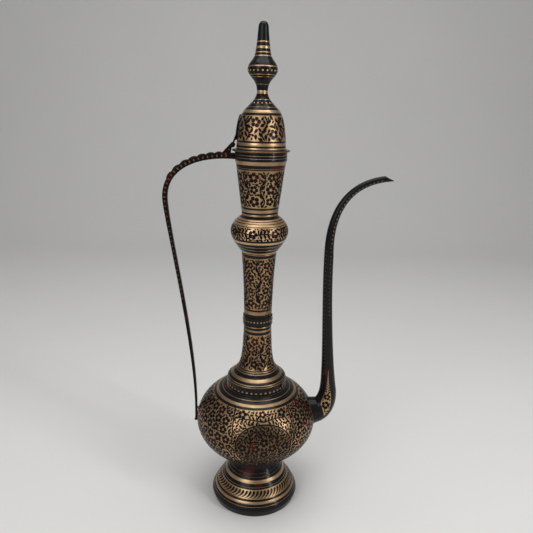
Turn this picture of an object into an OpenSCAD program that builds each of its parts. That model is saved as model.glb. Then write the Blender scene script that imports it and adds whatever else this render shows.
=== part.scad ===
// Tall engraved ewer with a swan-neck spout, a slim handle and a hinged lid.
// Lengths are in millimetres. Z is the turning axis and the table is at Z = 0.
// The spout points along +X and the handle stands on the -X side.

/* [Foot] */
// Radius of the foot where it meets the table
foot_base_r = 46.4; // [41:0.2:56]
// Radius at the top of the foot's upright rim
foot_r = 48.6; // [43:0.1:58]
// Height of the upright rim
foot_rim_h = 7; // [4:0.5:10]
// Height from the table to the bowl's seat
foot_h = 54.8; // [46:0.2:70]
// Radius of the narrow waist under the bowl
waist_r = 26; // [22:0.5:30]
// Height of the plain waist below the bowl's seat
waist_h = 7.8; // [6:0.1:10]
// Wall of the hollow foot
foot_wall = 3; // [2:0.1:4]
// Thickness of the plate at the top of the foot
foot_floor = 5; // [3:0.2:6]

/* [Bowl] */
// Radius of the bowl at its widest
bowl_r = 65.5; // [58:0.5:76]
// Half of the bowl's full height, as a whole spheroid
bowl_c = 47; // [42:0.5:56]
// Wall of the bowl
bowl_wall = 2.2; // [1.6:0.1:3]
// Height of the brazed lap above and below the bowl's seam
lap_h = 4; // [3:0.5:6]
// Thickness of the lap's lip
lap_t = 1.2; // [0.8:0.1:2]

/* [Shoulder] */
// Radius of the collar's dotted upright wall
shoulder_r = 32; // [28:0.5:37]
// Ledge of the bowl left bare outside the collar
shoulder_ledge = 0.6; // [0.3:0.1:2]
// Height of the collar's upright wall
shoulder_wall_h = 9.4; // [7:0.2:13]
// Full height of the collar
shoulder_h = 21; // [18:0.2:28]
// Radius of the land that the neck stands on
shoulder_top_r = 21.3; // [18:0.1:24]
// Wall of the collar
shoulder_wall = 2.4; // [1.6:0.1:3.2]

/* [Neck] */
// Radius of the bore through the neck
neck_bore_r = 12.4; // [10:0.1:13]
// Outer radius of the neck beside its ring
neck_r = 14.8; // [14:0.1:17]
// Height of the lower neck
neck_lower_h = 49.8; // [40:0.2:65]
// Radius of the raised ring between the two neck tubes
neck_ring_r = 15.8; // [15:0.1:18]
// Height of the raised ring
neck_ring_h = 10.2; // [7:0.2:14]
// Height of the upper neck
neck_upper_h = 69; // [55:0.5:85]
// Outer radius at the top of the upper neck
neck_top_r = 18.2; // [16:0.1:21]
// Wall of the threaded nipples inside the neck
nipple_wall = 1.9; // [1.4:0.1:2.4]
// Depth to which a nipple screws into a neck tube
nipple_reach = 12; // [8:0.5:16]
// Gap between a thread and its hole, on the radius
thread_gap = 0.05; // [0.03:0.01:0.1]

/* [Knop] */
// Radius of the knop at its widest
knop_r = 29.5; // [26:0.1:35]
// Height of the knop's lower half
knop_lower_h = 21.9; // [18:0.1:27]
// Height of the knop's upper half
knop_upper_h = 15.5; // [13:0.1:20]
// Wall of the knop
knop_wall = 2; // [1.5:0.1:2.6]
// Thickness of the plates that the nipples pass through
plate_t = 3; // [2:0.2:4]

/* [Mouth] */
// Outer radius at the bottom of the mouth cup
cup_foot_r = 18.7; // [17:0.1:21]
// Height of the straight band at the bottom of the cup
cup_foot_h = 4.6; // [3.6:0.2:7]
// Outer radius at the top of the cup
cup_top_r = 24.6; // [23.6:0.1:27]
// Height of the cup below its rim
cup_h = 51; // [42:0.5:62]
// Wall of the cup
cup_wall = 2.2; // [1.6:0.1:2.8]
// Outer radius of the mouth rim
rim_r = 25.9; // [25:0.1:29]
// Radius of the mouth's bore
mouth_bore_r = 23; // [22.4:0.1:23.4]
// Height of the mouth rim
rim_h = 12.6; // [11:0.2:16]
// Height of the flare at the bottom of the rim
rim_flare_h = 4.4; // [3:0.2:5]

/* [Spout] */
// Height of the spout's root above the bowl's seam
spout_root_up = 8; // [7:0.5:12]
// Radius of the water hole in the bowl
spout_hole_r = 6.5; // [4:0.1:6.8]
// Radius of the collar at the spout's root
spout_collar_r = 15; // [14.6:0.2:18]
// Height of the collar above the bowl
spout_collar_t = 2; // [1.4:0.1:3]
// Half height of the spout at its root
spout_root_half = 14.4; // [12:0.1:15]
// Half depth of the spout at its root
spout_root_side = 12.4; // [11:0.1:15]
// Half width of the spout at its elbow
spout_elbow_half = 9; // [8:0.1:11]
// Half width of the spout's stem
spout_stem_half = 5; // [4.4:0.1:6]
// Half width of the spout at its tip
spout_tip_half = 2.9; // [2.5:0.1:3.6]
// Wall of the spout
spout_wall = 1; // [0.8:0.05:1.2]
// How far the elbow stands out from the bowl's side
spout_elbow_out = 13.8; // [12:0.2:18]
// Height of the elbow's top above the bowl's seam
spout_elbow_up = 36; // [32:0.5:42]
// How far the stem's centre stands out from the bowl's side
spout_stem_out = 6.8; // [5:0.2:14]
// Distance of the tip from the turning axis
spout_reach = 132.8; // [120:0.2:145]
// Depth of the tip below the mouth
spout_tip_drop = 23.8; // [15:0.2:35]
// Height of the bent top of the spout
spout_bend_h = 81; // [70:0.5:92]
// Length by which the beak's top edge is cut back
beak_cut = 8.4; // [5:0.2:11]

/* [Handle] */
// Greatest distance of the handle's centre line from the axis
handle_reach = 95.4; // [88:0.2:110]
// Depth of the outermost point below the mouth
handle_bend_drop = 48; // [42:0.5:60]
// Depth of the handle's top end below the mouth
handle_end_drop = 5.4; // [5:0.2:7]
// Half height of the bar at its top end
handle_top_half = 3; // [2.6:0.1:3.4]
// Half height of the bar at the bend
handle_bend_half = 2.6; // [2.2:0.1:3.2]
// Half height of the bar part of the way down
handle_mid_half = 1.9; // [1.6:0.1:2.6]
// Half height of the bar at its lower end
handle_low_half = 1.2; // [0.9:0.1:2]
// Width of the handle bar
handle_w = 6; // [5.4:0.2:9]
// Depth of the handle's lower end below the bowl's seam
handle_low_drop = 6; // [3:0.5:10]
// Height of the handle's straight tab above the bowl's seam
handle_tab_up = 14; // [12:0.5:20]
// Height of the lower rivet above the bowl's seam
handle_rivet_up = 8.5; // [7.5:0.5:12]
// Depth of the upper rivet below the mouth
rim_rivet_drop = 6.6; // [6.4:0.1:7.4]
// Radius of the rivet shanks
rivet_r = 1.4; // [1:0.1:1.8]
// Radius of the rivet heads
rivet_head_r = 2.4; // [2:0.1:2.8]
// Thickness of the rivet heads
rivet_head_t = 1; // [0.6:0.1:1.2]
// Gap between curved faces that are brazed together
seat_gap = 0.05; // [0.03:0.01:0.1]

/* [Lid] */
// Radius of the lid's brim
brim_r = 28.5; // [27.5:0.1:31]
// Thickness of the brim
brim_t = 1.6; // [1.2:0.1:2.2]
// Gap between the lid's guide ring and the mouth's bore
guide_gap = 1.2; // [1:0.1:1.6]
// Depth of the guide ring below the brim
guide_h = 3.4; // [2.4:0.2:3.8]
// Wall of the guide ring
guide_wall = 1.6; // [1.2:0.1:2.4]
// Radius at the bottom of the dome
dome_r = 24.6; // [23.4:0.1:25.4]
// Radius of the dome's flat top
dome_top_r = 17.2; // [15:0.1:19]
// Height of the dome
dome_h = 37; // [30:0.5:45]
// Wall of the dome
dome_wall = 1.8; // [1.4:0.1:2.6]
// Thickness of the dome's top plate
dome_plate_t = 2.5; // [2:0.1:3.5]
// Height of the hollow-sided cap on the dome
cap_h = 16.4; // [13:0.2:21]

/* [Finial] */
// Radius of the finial's stem where it meets the cap
stem_r = 5.3; // [4.6:0.1:6.5]
// Radius of the finial's bulb
bulb_r = 14.4; // [12:0.1:17]
// Height of the bulb's widest line above the cap
bulb_h = 21; // [17:0.5:25]
// Radius at the foot of the spire
spire_r = 7.6; // [6:0.1:9]
// Height of the spire's foot above the cap
spire_h = 35; // [31:0.5:40]
// Radius of the spire just below its tip
tip_r = 4.9; // [4:0.1:5.8]
// Full height of the finial
finial_h = 63; // [54:0.5:74]
// Radius of the stud that holds the finial
stud_r = 2.5; // [2:0.1:3]
// Depth of the stud inside the finial
stud_reach = 14; // [10:0.5:18]

/* [Hinge] */
// How far the pin's centre lies inside the brim's edge
hinge_inset = 0.6; // [0:0.1:1]
// Height of the pin's centre above the mouth
hinge_up = 5.5; // [5:0.1:7]
// Radius of the hinge pin
pin_r = 1.1; // [0.8:0.05:1.3]
// Radius of the handle's two hinge ears
ear_r = 2.5; // [2.2:0.1:2.9]
// Radius of the strap's knuckle
knuckle_r = 2.2; // [1.9:0.1:2.4]
// Width of the strap's knuckle
knuckle_w = 2.4; // [2:0.1:2.8]
// Gap on each side of the knuckle
knuckle_gap = 0.3; // [0.2:0.05:0.5]
// Running gap between the pin and its bores, on the radius
pin_gap = 0.06; // [0.04:0.01:0.09]
// Radius of the pin's peened heads
pin_head_r = 1.8; // [1.5:0.1:2.2]
// Thickness of the pin's peened heads
pin_head_t = 0.8; // [0.5:0.1:1.2]
// Width of the strap on the dome
strap_w = 8; // [6:0.2:10]
// Thickness of the strap
strap_t = 1.7; // [1.2:0.1:2]

/* [Fasteners] */
// Radius of the bolt that clamps the bowl to the foot
bolt_r = 4; // [3:0.2:5]
// Clearance of a bolt or stud in its hole, on the radius
bolt_gap = 0.2; // [0.1:0.05:0.4]
// Radius of the bolt's head
bolt_head_r = 8; // [6.5:0.1:10]
// Height of the bolt's head
bolt_head_h = 4; // [3:0.2:6]
// Radius of the washer
washer_r = 10; // [8.5:0.2:13]
// Thickness of the washer
washer_t = 1.6; // [1:0.1:2.5]
// Height of the foot's nut
nut_h = 6.5; // [5:0.1:8]
// Width of the foot's nut across its corners
nut_w = 15; // [12.5:0.1:18]
// Height of the lock ring under the shoulder
lock_h = 4; // [3:0.2:6]
// Radial width of the lock ring
lock_w = 4.5; // [3:0.1:6]
// Height of the finial's nut
small_nut_h = 4; // [3:0.1:5]
// Width of the finial's nut across its corners
small_nut_w = 9.2; // [8:0.1:11]
// Length of thread that stands past a nut
thread_past = 1.5; // [1:0.1:3]

/* [Hidden] */
$fn = 96;

BRASS = [0.62, 0.47, 0.24];
LACQUER = [0.10, 0.08, 0.07];
STEEL = [0.55, 0.55, 0.54];

// A little extra length for tools that cut right through
past = 1;

// Heights of the stacked pieces above the table
z_waist = foot_h - waist_h;
z_bowl = foot_h + bowl_c * sqrt(1 - pow(waist_r / bowl_r, 2));
z_shoulder = z_bowl + bowl_c * sqrt(1 - pow((shoulder_r + shoulder_ledge) / bowl_r, 2));
z_neck = z_shoulder + shoulder_h;
z_ring = z_neck + neck_lower_h;
z_upper = z_ring + neck_ring_h;
z_knop = z_upper + neck_upper_h;
z_belt = z_knop + knop_lower_h;
z_cup = z_belt + knop_upper_h;
z_rim = z_cup + cup_h;
z_mouth = z_rim + rim_h;
z_dome = z_mouth + brim_t;
z_cap = z_dome + dome_h;
z_finial = z_cap + cap_h;
z_tip = z_finial + finial_h;

// Threads, and the hinge's place
nipple_r = neck_bore_r - thread_gap;
bolt_hole_r = bolt_r + bolt_gap;
stud_hole_r = stud_r + bolt_gap;
hinge_x = -(brim_r - hinge_inset);
hinge_z = z_mouth + hinge_up;

// Points along a cubic curve with four control points
function bend(p, t) =
    pow(1 - t, 3) * p[0] + 3 * t * pow(1 - t, 2) * p[1] + 3 * t * t * (1 - t) * p[2] + pow(t, 3) * p[3];
function bend_way(p, t) =
    pow(1 - t, 2) * (p[1] - p[0]) + 2 * t * (1 - t) * (p[2] - p[1]) + t * t * (p[3] - p[2]);
function curve(p, n) = [for (i = [0:n]) bend(p, i / n)];
function reversed(list) = [for (i = [len(list) - 1:-1:0]) list[i]];
function inset(points, wall) = [for (p = points) [p[0] - wall, p[1]]];
function joined(lists) = [for (list = lists) each list];
function blend(a, b, t) = a + (b - a) * t;

// The bowl's section is an ellipse, and grow moves its surface outwards
function bowl_angle(z, grow) = asin((z - z_bowl) / (bowl_c + grow));
function bowl_at(z, grow) = (bowl_r + grow) * cos(bowl_angle(z, grow));
function bowl_arc(z0, z1, grow, n) =
    let (a0 = bowl_angle(z0, grow), a1 = bowl_angle(z1, grow))
    [for (i = [0:n]) let (a = blend(a0, a1, i / n))
        [(bowl_r + grow) * cos(a), z_bowl + (bowl_c + grow) * sin(a)]];
function bowl_tilt(up) = atan2(up / pow(bowl_c, 2), bowl_at(z_bowl + up, 0) / pow(bowl_r, 2));

module turned(points) {
    rotate_extrude() polygon(points);
}

module ring(r_in, r_out, z0, z1) {
    translate([0, 0, z0]) difference() {
        cylinder(r = r_out, h = z1 - z0);
        translate([0, 0, -past]) cylinder(r = r_in, h = z1 - z0 + 2 * past);
    }
}

module along_x(from, to, z, r) {
    translate([from, 0, z]) rotate([0, 90, 0]) cylinder(r = r, h = to - from);
}

// Foot: an upright rim, a sweeping cone and a plain waist, hollow below
foot_ease = 6;
foot_sweep = [[foot_r, foot_rim_h], [foot_r, foot_rim_h + foot_ease],
    [waist_r, z_waist - foot_ease], [waist_r, z_waist]];

module foot() {
    outside = joined([[[foot_base_r, 0]], curve(foot_sweep, 20), [[waist_r, foot_h]]]);
    z_floor = foot_h - foot_floor;
    inside = joined([[[bolt_hole_r, foot_h], [bolt_hole_r, z_floor], [waist_r - foot_wall, z_floor]],
        reversed(inset(curve(foot_sweep, 20), foot_wall)), [[foot_base_r - foot_wall, 0]]]);
    color(LACQUER) turned(joined([outside, inside]));
}

z_bolt_head = foot_h + bowl_wall;
z_washer = foot_h - foot_floor - washer_t;
z_nut = z_washer - nut_h;

module foot_bolt() {
    color(STEEL) {
        translate([0, 0, z_bolt_head]) cylinder(r = bolt_head_r, h = bolt_head_h);
        translate([0, 0, z_nut - thread_past])
            cylinder(r = bolt_r, h = z_bolt_head + bolt_head_h / 2 - z_nut + thread_past);
    }
}

module foot_washer() {
    color(STEEL) ring(bolt_hole_r, washer_r, z_washer, z_washer + washer_t);
}

module foot_nut() {
    color(STEEL) translate([0, 0, z_nut]) difference() {
        cylinder(d = nut_w, h = nut_h, $fn = 6);
        translate([0, 0, -past]) cylinder(r = bolt_r + thread_gap, h = nut_h + 2 * past);
    }
}

// Bowl: two spun halves with a lap inside the seam
lap_gap = 0.35;
lap_r = bowl_r - bowl_wall - lap_gap;

module bowl_lower() {
    outside = bowl_arc(foot_h, z_bowl, 0, 18);
    inside = reversed(bowl_arc(foot_h + bowl_wall, z_bowl, -bowl_wall, 18));
    floor_edge = [[bolt_hole_r, foot_h + bowl_wall], [bolt_hole_r, foot_h]];
    color(BRASS) turned(joined([outside, inside, floor_edge]));
}

module bowl_upper() {
    outside = bowl_arc(z_bowl, z_shoulder, 0, 18);
    z_under = z_shoulder - bowl_wall;
    land = [[neck_bore_r, z_shoulder], [neck_bore_r, z_under]];
    inside = reversed(bowl_arc(z_bowl + lap_h, z_under, -bowl_wall, 16));
    lip = [[lap_r - lap_t, z_bowl + lap_h], [lap_r - lap_t, z_bowl - lap_h],
        [lap_r, z_bowl - lap_h], [lap_r, z_bowl]];
    color(BRASS) difference() {
        turned(joined([outside, land, inside, lip]));
        at_spout_root() translate([0, 0, -spout_root_half]) cylinder(r = spout_hole_r, h = 2 * spout_root_half);
        at_low_rivet() translate([0, 0, -handle_rivet_up])
            cylinder(r = rivet_r + seat_gap, h = 2 * handle_rivet_up);
    }
}

// Shoulder: a collar with an upright wall and a rounded top that the neck stands on
module shoulder_collar() {
    z_wall = z_shoulder + shoulder_wall_h;
    rise = z_neck - z_wall;
    top = [[shoulder_r, z_wall], [shoulder_r, z_wall + rise / 4],
        [blend(shoulder_top_r, shoulder_r, 0.35), z_wall + rise * 0.45], [shoulder_top_r, z_neck]];
    outside = joined([[[shoulder_r, z_shoulder]], curve(top, 14)]);
    z_plate = z_neck - 2 * shoulder_wall;
    hollow = [for (p = inset(curve(top, 14), shoulder_wall)) [p[0], min(p[1] - shoulder_wall, z_plate)]];
    inside = joined([[[neck_bore_r, z_neck], [neck_bore_r, z_plate]],
        reversed(hollow), [[shoulder_r - shoulder_wall, z_shoulder]]]);
    color(LACQUER) turned(joined([outside, inside]));
}

module nipple(z0, z1) {
    color(BRASS) ring(nipple_r - nipple_wall, nipple_r, z0, z1);
}

z_lock = z_shoulder - bowl_wall - lock_h;

module shoulder_nipple() {
    nipple(z_lock - thread_past, z_neck + nipple_reach);
}

module shoulder_lock_ring() {
    color(BRASS) ring(neck_bore_r, neck_bore_r + lock_w, z_lock, z_lock + lock_h);
}

// Neck: two turned tubes with a raised ring between them
module neck_lower() {
    flare = [[shoulder_top_r, z_neck], [neck_r + 1.8, z_neck + neck_lower_h * 0.12],
        [neck_r + 0.8, z_neck + neck_lower_h * 0.44], [neck_r, z_ring]];
    color(BRASS) turned(joined([curve(flare, 18), [[neck_bore_r, z_ring], [neck_bore_r, z_neck]]]));
}

module neck_ring() {
    color(LACQUER) ring(neck_bore_r, neck_ring_r, z_ring, z_upper);
}

module neck_nipple() {
    nipple(z_ring - nipple_reach, z_upper + nipple_reach);
}

module neck_upper() {
    rise = neck_top_r - neck_r;
    taper = [[neck_r, z_upper], [neck_r + rise * 0.15, z_upper + neck_upper_h / 3],
        [neck_r + rise * 0.35, z_upper + neck_upper_h * 0.7], [neck_top_r, z_knop]];
    color(BRASS) turned(joined([curve(taper, 16), [[neck_bore_r, z_knop], [neck_bore_r, z_upper]]]));
}

// Knop: a hollow bulb made in two halves that meet at its widest line
knop_below = [[neck_top_r, z_knop], [neck_top_r + 2.6, z_knop + 4.2],
    [knop_r, z_belt - 9], [knop_r, z_belt]];
knop_above = [[knop_r, z_belt], [knop_r, z_belt + knop_upper_h * 0.42],
    [cup_foot_r + 5, z_cup - 2.6], [cup_foot_r, z_cup]];

module knop_nipple() {
    nipple(z_knop - nipple_reach, z_knop + plate_t + thread_past);
}

module knop_lower() {
    outside = curve(knop_below, 16);
    hollow = [for (p = inset(outside, knop_wall)) [p[0], max(p[1], z_knop + plate_t)]];
    color(LACQUER) difference() {
        turned(joined([outside, [[0, z_belt], [0, z_knop]]]));
        turned(joined([[[0, z_knop + plate_t]], hollow, [[knop_r - knop_wall, z_belt + past], [0, z_belt + past]]]));
        translate([0, 0, z_knop - past]) cylinder(r = neck_bore_r, h = plate_t + 2 * past);
    }
}

module knop_upper() {
    outside = curve(knop_above, 16);
    hollow = [for (p = inset(outside, knop_wall)) [p[0], min(p[1], z_cup - plate_t)]];
    color(LACQUER) difference() {
        turned(joined([outside, [[0, z_cup], [0, z_belt]]]));
        turned(joined([[[0, z_belt - past], [knop_r - knop_wall, z_belt - past]], hollow, [[0, z_cup - plate_t]]]));
        translate([0, 0, z_cup - plate_t - past]) cylinder(r = neck_bore_r, h = plate_t + 2 * past);
    }
}

module cup_nipple() {
    nipple(z_cup - plate_t - thread_past, z_cup + plate_t + thread_past);
}

// Mouth: a tapered cup with a rim that carries the handle and the lid
module mouth_cup() {
    z_band = z_cup + cup_foot_h;
    outside = [[cup_foot_r, z_cup], [cup_foot_r, z_band], [cup_top_r, z_rim]];
    inside = [[cup_top_r - cup_wall, z_rim], [cup_foot_r - cup_wall, z_band],
        [cup_foot_r - cup_wall, z_cup + plate_t], [neck_bore_r, z_cup + plate_t], [neck_bore_r, z_cup]];
    color(BRASS) turned(joined([outside, inside]));
}

module mouth_rim() {
    color(LACQUER) difference() {
        turned([[mouth_bore_r, z_rim], [cup_top_r, z_rim], [rim_r, z_rim + rim_flare_h],
            [rim_r, z_mouth], [mouth_bore_r, z_mouth]]);
        along_x(-rim_r - past, -mouth_bore_r + past, z_mouth - rim_rivet_drop, rivet_r + seat_gap);
    }
}

// Spout: a collar on the bowl, an elbow, a tall stem and a bent top with a cut beak
spout_tilt = bowl_tilt(spout_root_up);
spout_way = [cos(spout_tilt), sin(spout_tilt)];
spout_root = [bowl_at(z_bowl + spout_root_up, 0), z_bowl + spout_root_up];
spout_start = spout_root + spout_collar_t * spout_way;
spout_elbow = [bowl_r + spout_elbow_out, z_bowl + spout_elbow_up];
spout_tip = [spout_reach, z_mouth - spout_tip_drop];
spout_stem = [bowl_r + spout_stem_out, spout_tip[1] - spout_bend_h];
stem_rise = spout_stem[1] - spout_elbow[1];
spout_lead = 8;
spout_rise = 15;
spout_low = [spout_start, spout_start + spout_lead * spout_way,
    spout_elbow - [-0.7, spout_rise], spout_elbow];
spout_mid = [spout_elbow, spout_elbow + [-0.8, 0.14 * stem_rise],
    spout_stem - [0.3, 0.33 * stem_rise], spout_stem];
spout_top = [spout_stem, spout_stem + [-1.6, 0.5 * spout_bend_h],
    [blend(spout_stem[0], spout_tip[0], 0.18), spout_tip[1] - 3], spout_tip];
spout_runs = [spout_low, spout_mid, spout_top];
spout_steps = [5, 7, 9];
spout_sides = 12;

// One station holds a place, a direction and two half widths
function spout_half(run, t) =
    run == 0 ? blend(spout_root_half, spout_elbow_half, t)
    : run == 1 ? spout_stem_half + (spout_elbow_half - spout_stem_half) * pow(1 - t, 2.6)
    : blend(spout_stem_half, spout_tip_half, pow(t, 0.8));
function spout_side(run, t) =
    run == 0 ? blend(spout_root_side, spout_elbow_half, t) : spout_half(run, t);
function station(run, t) =
    let (way = bend_way(spout_runs[run], t))
    [bend(spout_runs[run], t), way / norm(way), spout_half(run, t), spout_side(run, t)];
spout_stations = [for (run = [0:2]) for (i = [(run == 0 ? 0 : 1):spout_steps[run]])
    station(run, i / spout_steps[run])];

// A ring of points round one station, with the wall taken off for the bore
function spout_loop(s, wall) = [for (k = [0:spout_sides - 1])
    let (a = 360 * k / spout_sides,
        high = (s[2] - wall) * cos(a))
    [s[0][0] - high * s[1][1], (s[3] - wall) * sin(a), s[0][1] + high * s[1][0]]];

module tube(stations, wall) {
    rings = len(stations);
    n = spout_sides;
    skins = rings * n;
    points = joined([for (w = [0, wall]) joined([for (s = stations) spout_loop(s, w)])]);
    outer = [for (i = [0:rings - 2]) for (k = [0:n - 1])
        let (a = i * n + k, b = i * n + (k + 1) % n) each [[a, b, b + n], [a, b + n, a + n]]];
    inner = [for (f = outer) [f[0] + skins, f[2] + skins, f[1] + skins]];
    start = [for (k = [0:n - 1]) let (a = k, b = (k + 1) % n)
        each [[a, b + skins, b], [a, a + skins, b + skins]]];
    last = (rings - 1) * n;
    end = [for (k = [0:n - 1]) let (a = last + k, b = last + (k + 1) % n)
        each [[a, b, b + skins], [a, b + skins, a + skins]]];
    polyhedron(points, joined([end, outer, inner, start]));
}

module at_spout_root() {
    translate([spout_root[0], 0, spout_root[1]]) rotate([0, 90 - spout_tilt, 0]) children();
}

module spout_collar() {
    color(LACQUER) difference() {
        at_spout_root() translate([0, 0, -spout_collar_r / 2]) difference() {
            cylinder(r = spout_collar_r, h = spout_collar_r / 2 + spout_collar_t);
            translate([0, 0, -past])
                cylinder(r = spout_root_side - spout_wall, h = spout_collar_r / 2 + spout_collar_t + 2 * past);
        }
        turned(joined([bowl_arc(foot_h, z_bowl, seat_gap, 18), bowl_arc(z_bowl, z_shoulder, seat_gap, 18),
            [[0, z_shoulder], [0, foot_h]]]));
    }
}

// The beak's cut starts inside the lower lip and leans back over the bore
beak_way = bend_way(spout_top, 1);
beak_pitch = atan2(beak_way[1], beak_way[0]);
beak_lean = atan2(beak_cut, 2 * spout_tip_half);
beak_size = 2 * (beak_cut + spout_tip_half);

module spout() {
    color(LACQUER) difference() {
        tube(spout_stations, spout_wall);
        translate([spout_tip[0], 0, spout_tip[1]]) rotate([0, -beak_pitch, 0])
            translate([0, 0, spout_wall / 2 - spout_tip_half]) rotate([0, -beak_lean, 0])
                translate([0, -beak_size / 2, -beak_size / 4]) cube(beak_size);
    }
}

// Handle: one cast bar in the XZ plane with a fin and two hinge ears
handle_top = [past - rim_r, z_mouth - handle_end_drop];
handle_bend = [-handle_reach, z_mouth - handle_bend_drop];
tab_x = -(bowl_r + seat_gap + handle_low_half);
handle_low = [tab_x, z_bowl - handle_low_drop];
handle_tab = [tab_x, z_bowl + handle_tab_up];
arm_span = handle_top[0] - handle_bend[0];
arm_drop = handle_top[1] - handle_bend[1];
bar_drop = handle_bend[1] - handle_tab[1];
handle_arm = [handle_top, handle_top - [0.49 * arm_span, -0.06 * arm_drop],
    handle_bend + [0, 0.78 * arm_drop], handle_bend];
handle_bar = [handle_bend, handle_bend - [-1.2, 0.13 * bar_drop],
    handle_tab + [-0.45, 0.34 * bar_drop], handle_tab];
handle_steps = 22;

function handle_half(run, t) =
    run == 0 ? blend(handle_top_half, handle_bend_half, t)
    : t < 0.3 ? blend(handle_bend_half, handle_mid_half, t / 0.3)
    : blend(handle_mid_half, handle_low_half, pow((t - 0.3) / 0.7, 2));
function handle_edge(path, run, side) = [for (i = [(run == 0 ? 0 : 1):handle_steps])
    let (t = i / handle_steps, way = bend_way(path, t), unit = way / norm(way))
    bend(path, t) + side * handle_half(run, t) * [unit[1], -unit[0]]];
function handle_side(side) = joined([handle_edge(handle_arm, 0, side), handle_edge(handle_bar, 1, side),
    [handle_low + side * [-handle_low_half, 0]]]);

module at_low_rivet() {
    up = handle_rivet_up;
    translate([-bowl_at(z_bowl + up, 0), 0, z_bowl + up]) rotate([0, bowl_tilt(up) - 90, 0]) children();
}

module handle() {
    fin_run = 11;
    fin = [[hinge_x - 1.2, hinge_z + 0.6], [hinge_x - fin_run, handle_top[1] + handle_top_half - 0.2],
        [hinge_x - fin_run, handle_top[1]], [hinge_x - ear_r, handle_top[1]],
        [hinge_x - ear_r + 0.9, hinge_z - 1.5]];
    color(LACQUER) difference() {
        rotate([90, 0, 0]) linear_extrude(handle_w, center = true) union() {
            polygon(joined([handle_side(1), reversed(handle_side(-1))]));
            polygon(fin);
            translate([hinge_x, hinge_z]) circle(r = ear_r);
        }
        translate([0, 0, z_rim - past]) cylinder(r = rim_r + seat_gap, h = rim_h + 2 * past);
        at_hinge(knuckle_w + 2 * knuckle_gap, knuckle_r + knuckle_gap + 0.2);
        at_hinge(handle_w + 2 * past, pin_r + pin_gap / 2);
        along_x(-rim_r - handle_rivet_depth, -rim_r + past, z_mouth - rim_rivet_drop, rivet_r + seat_gap);
        at_low_rivet() translate([0, 0, -past]) cylinder(r = rivet_r + seat_gap, h = handle_rivet_depth);
    }
}

// A cylinder across the hinge, centred on the pin's axis
module at_hinge(width, r) {
    translate([hinge_x, width / 2, hinge_z]) rotate([90, 0, 0]) cylinder(r = r, h = width);
}

handle_rivet_depth = 9;

module handle_rivets() {
    face = sqrt(pow(mouth_bore_r, 2) - pow(rivet_head_r, 2)) - seat_gap;
    z_high = z_mouth - rim_rivet_drop;
    low_length = (handle_low_half + seat_gap) * 2;
    sag = pow(rivet_head_r, 2) * bowl_r / pow(bowl_c, 2) / 2 + seat_gap;
    color(BRASS) {
        along_x(-rim_r - handle_rivet_depth + seat_gap, -face + rivet_head_t / 2, z_high, rivet_r);
        along_x(-face, -face + rivet_head_t, z_high, rivet_head_r);
        at_low_rivet() translate([0, 0, -bowl_wall - sag - rivet_head_t]) {
            cylinder(r = rivet_r, h = rivet_head_t + bowl_wall + sag + low_length);
            cylinder(r = rivet_head_r, h = rivet_head_t);
        }
    }
}

module hinge_pin() {
    color(BRASS) {
        at_hinge(handle_w + pin_head_t, pin_r);
        for (side = [-1, 1]) translate([0, side * (handle_w + pin_head_t) / 2, 0]) at_hinge(pin_head_t, pin_head_r);
    }
}

// Lid: a brim, a guide ring below it, a dome with a cap, and the finial on a stud
guide_r = mouth_bore_r - guide_gap;
guide_in_r = guide_r - guide_wall;
dome_steps = 20;
dome_swell = 6;
dome_side = [[dome_r, z_dome], [dome_r - 1, z_dome + dome_h * 0.36],
    [dome_top_r + dome_swell, z_dome + dome_h * 0.78], [dome_top_r, z_cap]];
dome_outline = curve(dome_side, dome_steps);

module lid_brim() {
    color(LACQUER) ring(guide_in_r, brim_r, z_mouth, z_dome);
}

module lid_guide_ring() {
    color(BRASS) ring(guide_in_r, guide_r, z_mouth - guide_h, z_mouth);
}

module lid_dome() {
    z_plate = z_cap - dome_plate_t;
    hollow = [for (p = inset(dome_outline, dome_wall)) [p[0], min(p[1], z_plate)]];
    color(BRASS) difference() {
        turned(joined([dome_outline, [[0, z_cap], [0, z_dome]]]));
        turned(joined([[[0, z_dome - past], [dome_r - dome_wall, z_dome - past]], hollow, [[0, z_plate]]]));
        translate([0, 0, z_plate - past]) cylinder(r = stud_hole_r, h = dome_plate_t + 2 * past);
        strap_holes();
    }
}

module lid_cap() {
    side = [[dome_top_r, z_cap], [blend(stem_r, dome_top_r, 0.44), z_cap + cap_h * 0.42],
        [blend(stem_r, dome_top_r, 0.06), z_cap + cap_h * 0.63], [stem_r, z_finial]];
    color(LACQUER) turned(joined([curve(side, 14), [[stud_hole_r, z_finial], [stud_hole_r, z_cap]]]));
}

bulb_ease = 5.5;
spire_ease = 6;
spire_flare = 0.6;

module finial() {
    z_bulb = z_finial + bulb_h;
    z_spire = z_finial + spire_h;
    z_round = z_tip - tip_r;
    stem = [[stem_r, z_finial], [stem_r, z_bulb - 8], [bulb_r, z_bulb - 8.5], [bulb_r, z_bulb]];
    top = [[bulb_r, z_bulb], [bulb_r, z_bulb + bulb_ease], [spire_r + spire_flare, z_spire - spire_ease],
        [spire_r, z_spire]];
    spire = [[spire_r, z_spire], [blend(spire_r, tip_r, 0.5), z_spire + spire_ease],
        [blend(spire_r, tip_r, 0.75), z_spire + 16], [tip_r, z_round]];
    point = [for (i = [1:8]) [tip_r * cos(90 * i / 8), z_round + tip_r * sin(90 * i / 8)]];
    bore = [[0, z_finial + stud_reach], [stud_r + thread_gap, z_finial + stud_reach],
        [stud_r + thread_gap, z_finial]];
    color(LACQUER) turned(joined([curve(stem, 14), curve(top, 10), curve(spire, 10), point, bore]));
}

z_small_nut = z_cap - dome_plate_t - small_nut_h;

module finial_stud() {
    z0 = z_small_nut - thread_past;
    color(STEEL) translate([0, 0, z0]) cylinder(r = stud_r, h = z_finial + stud_reach - seat_gap - z0);
}

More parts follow.
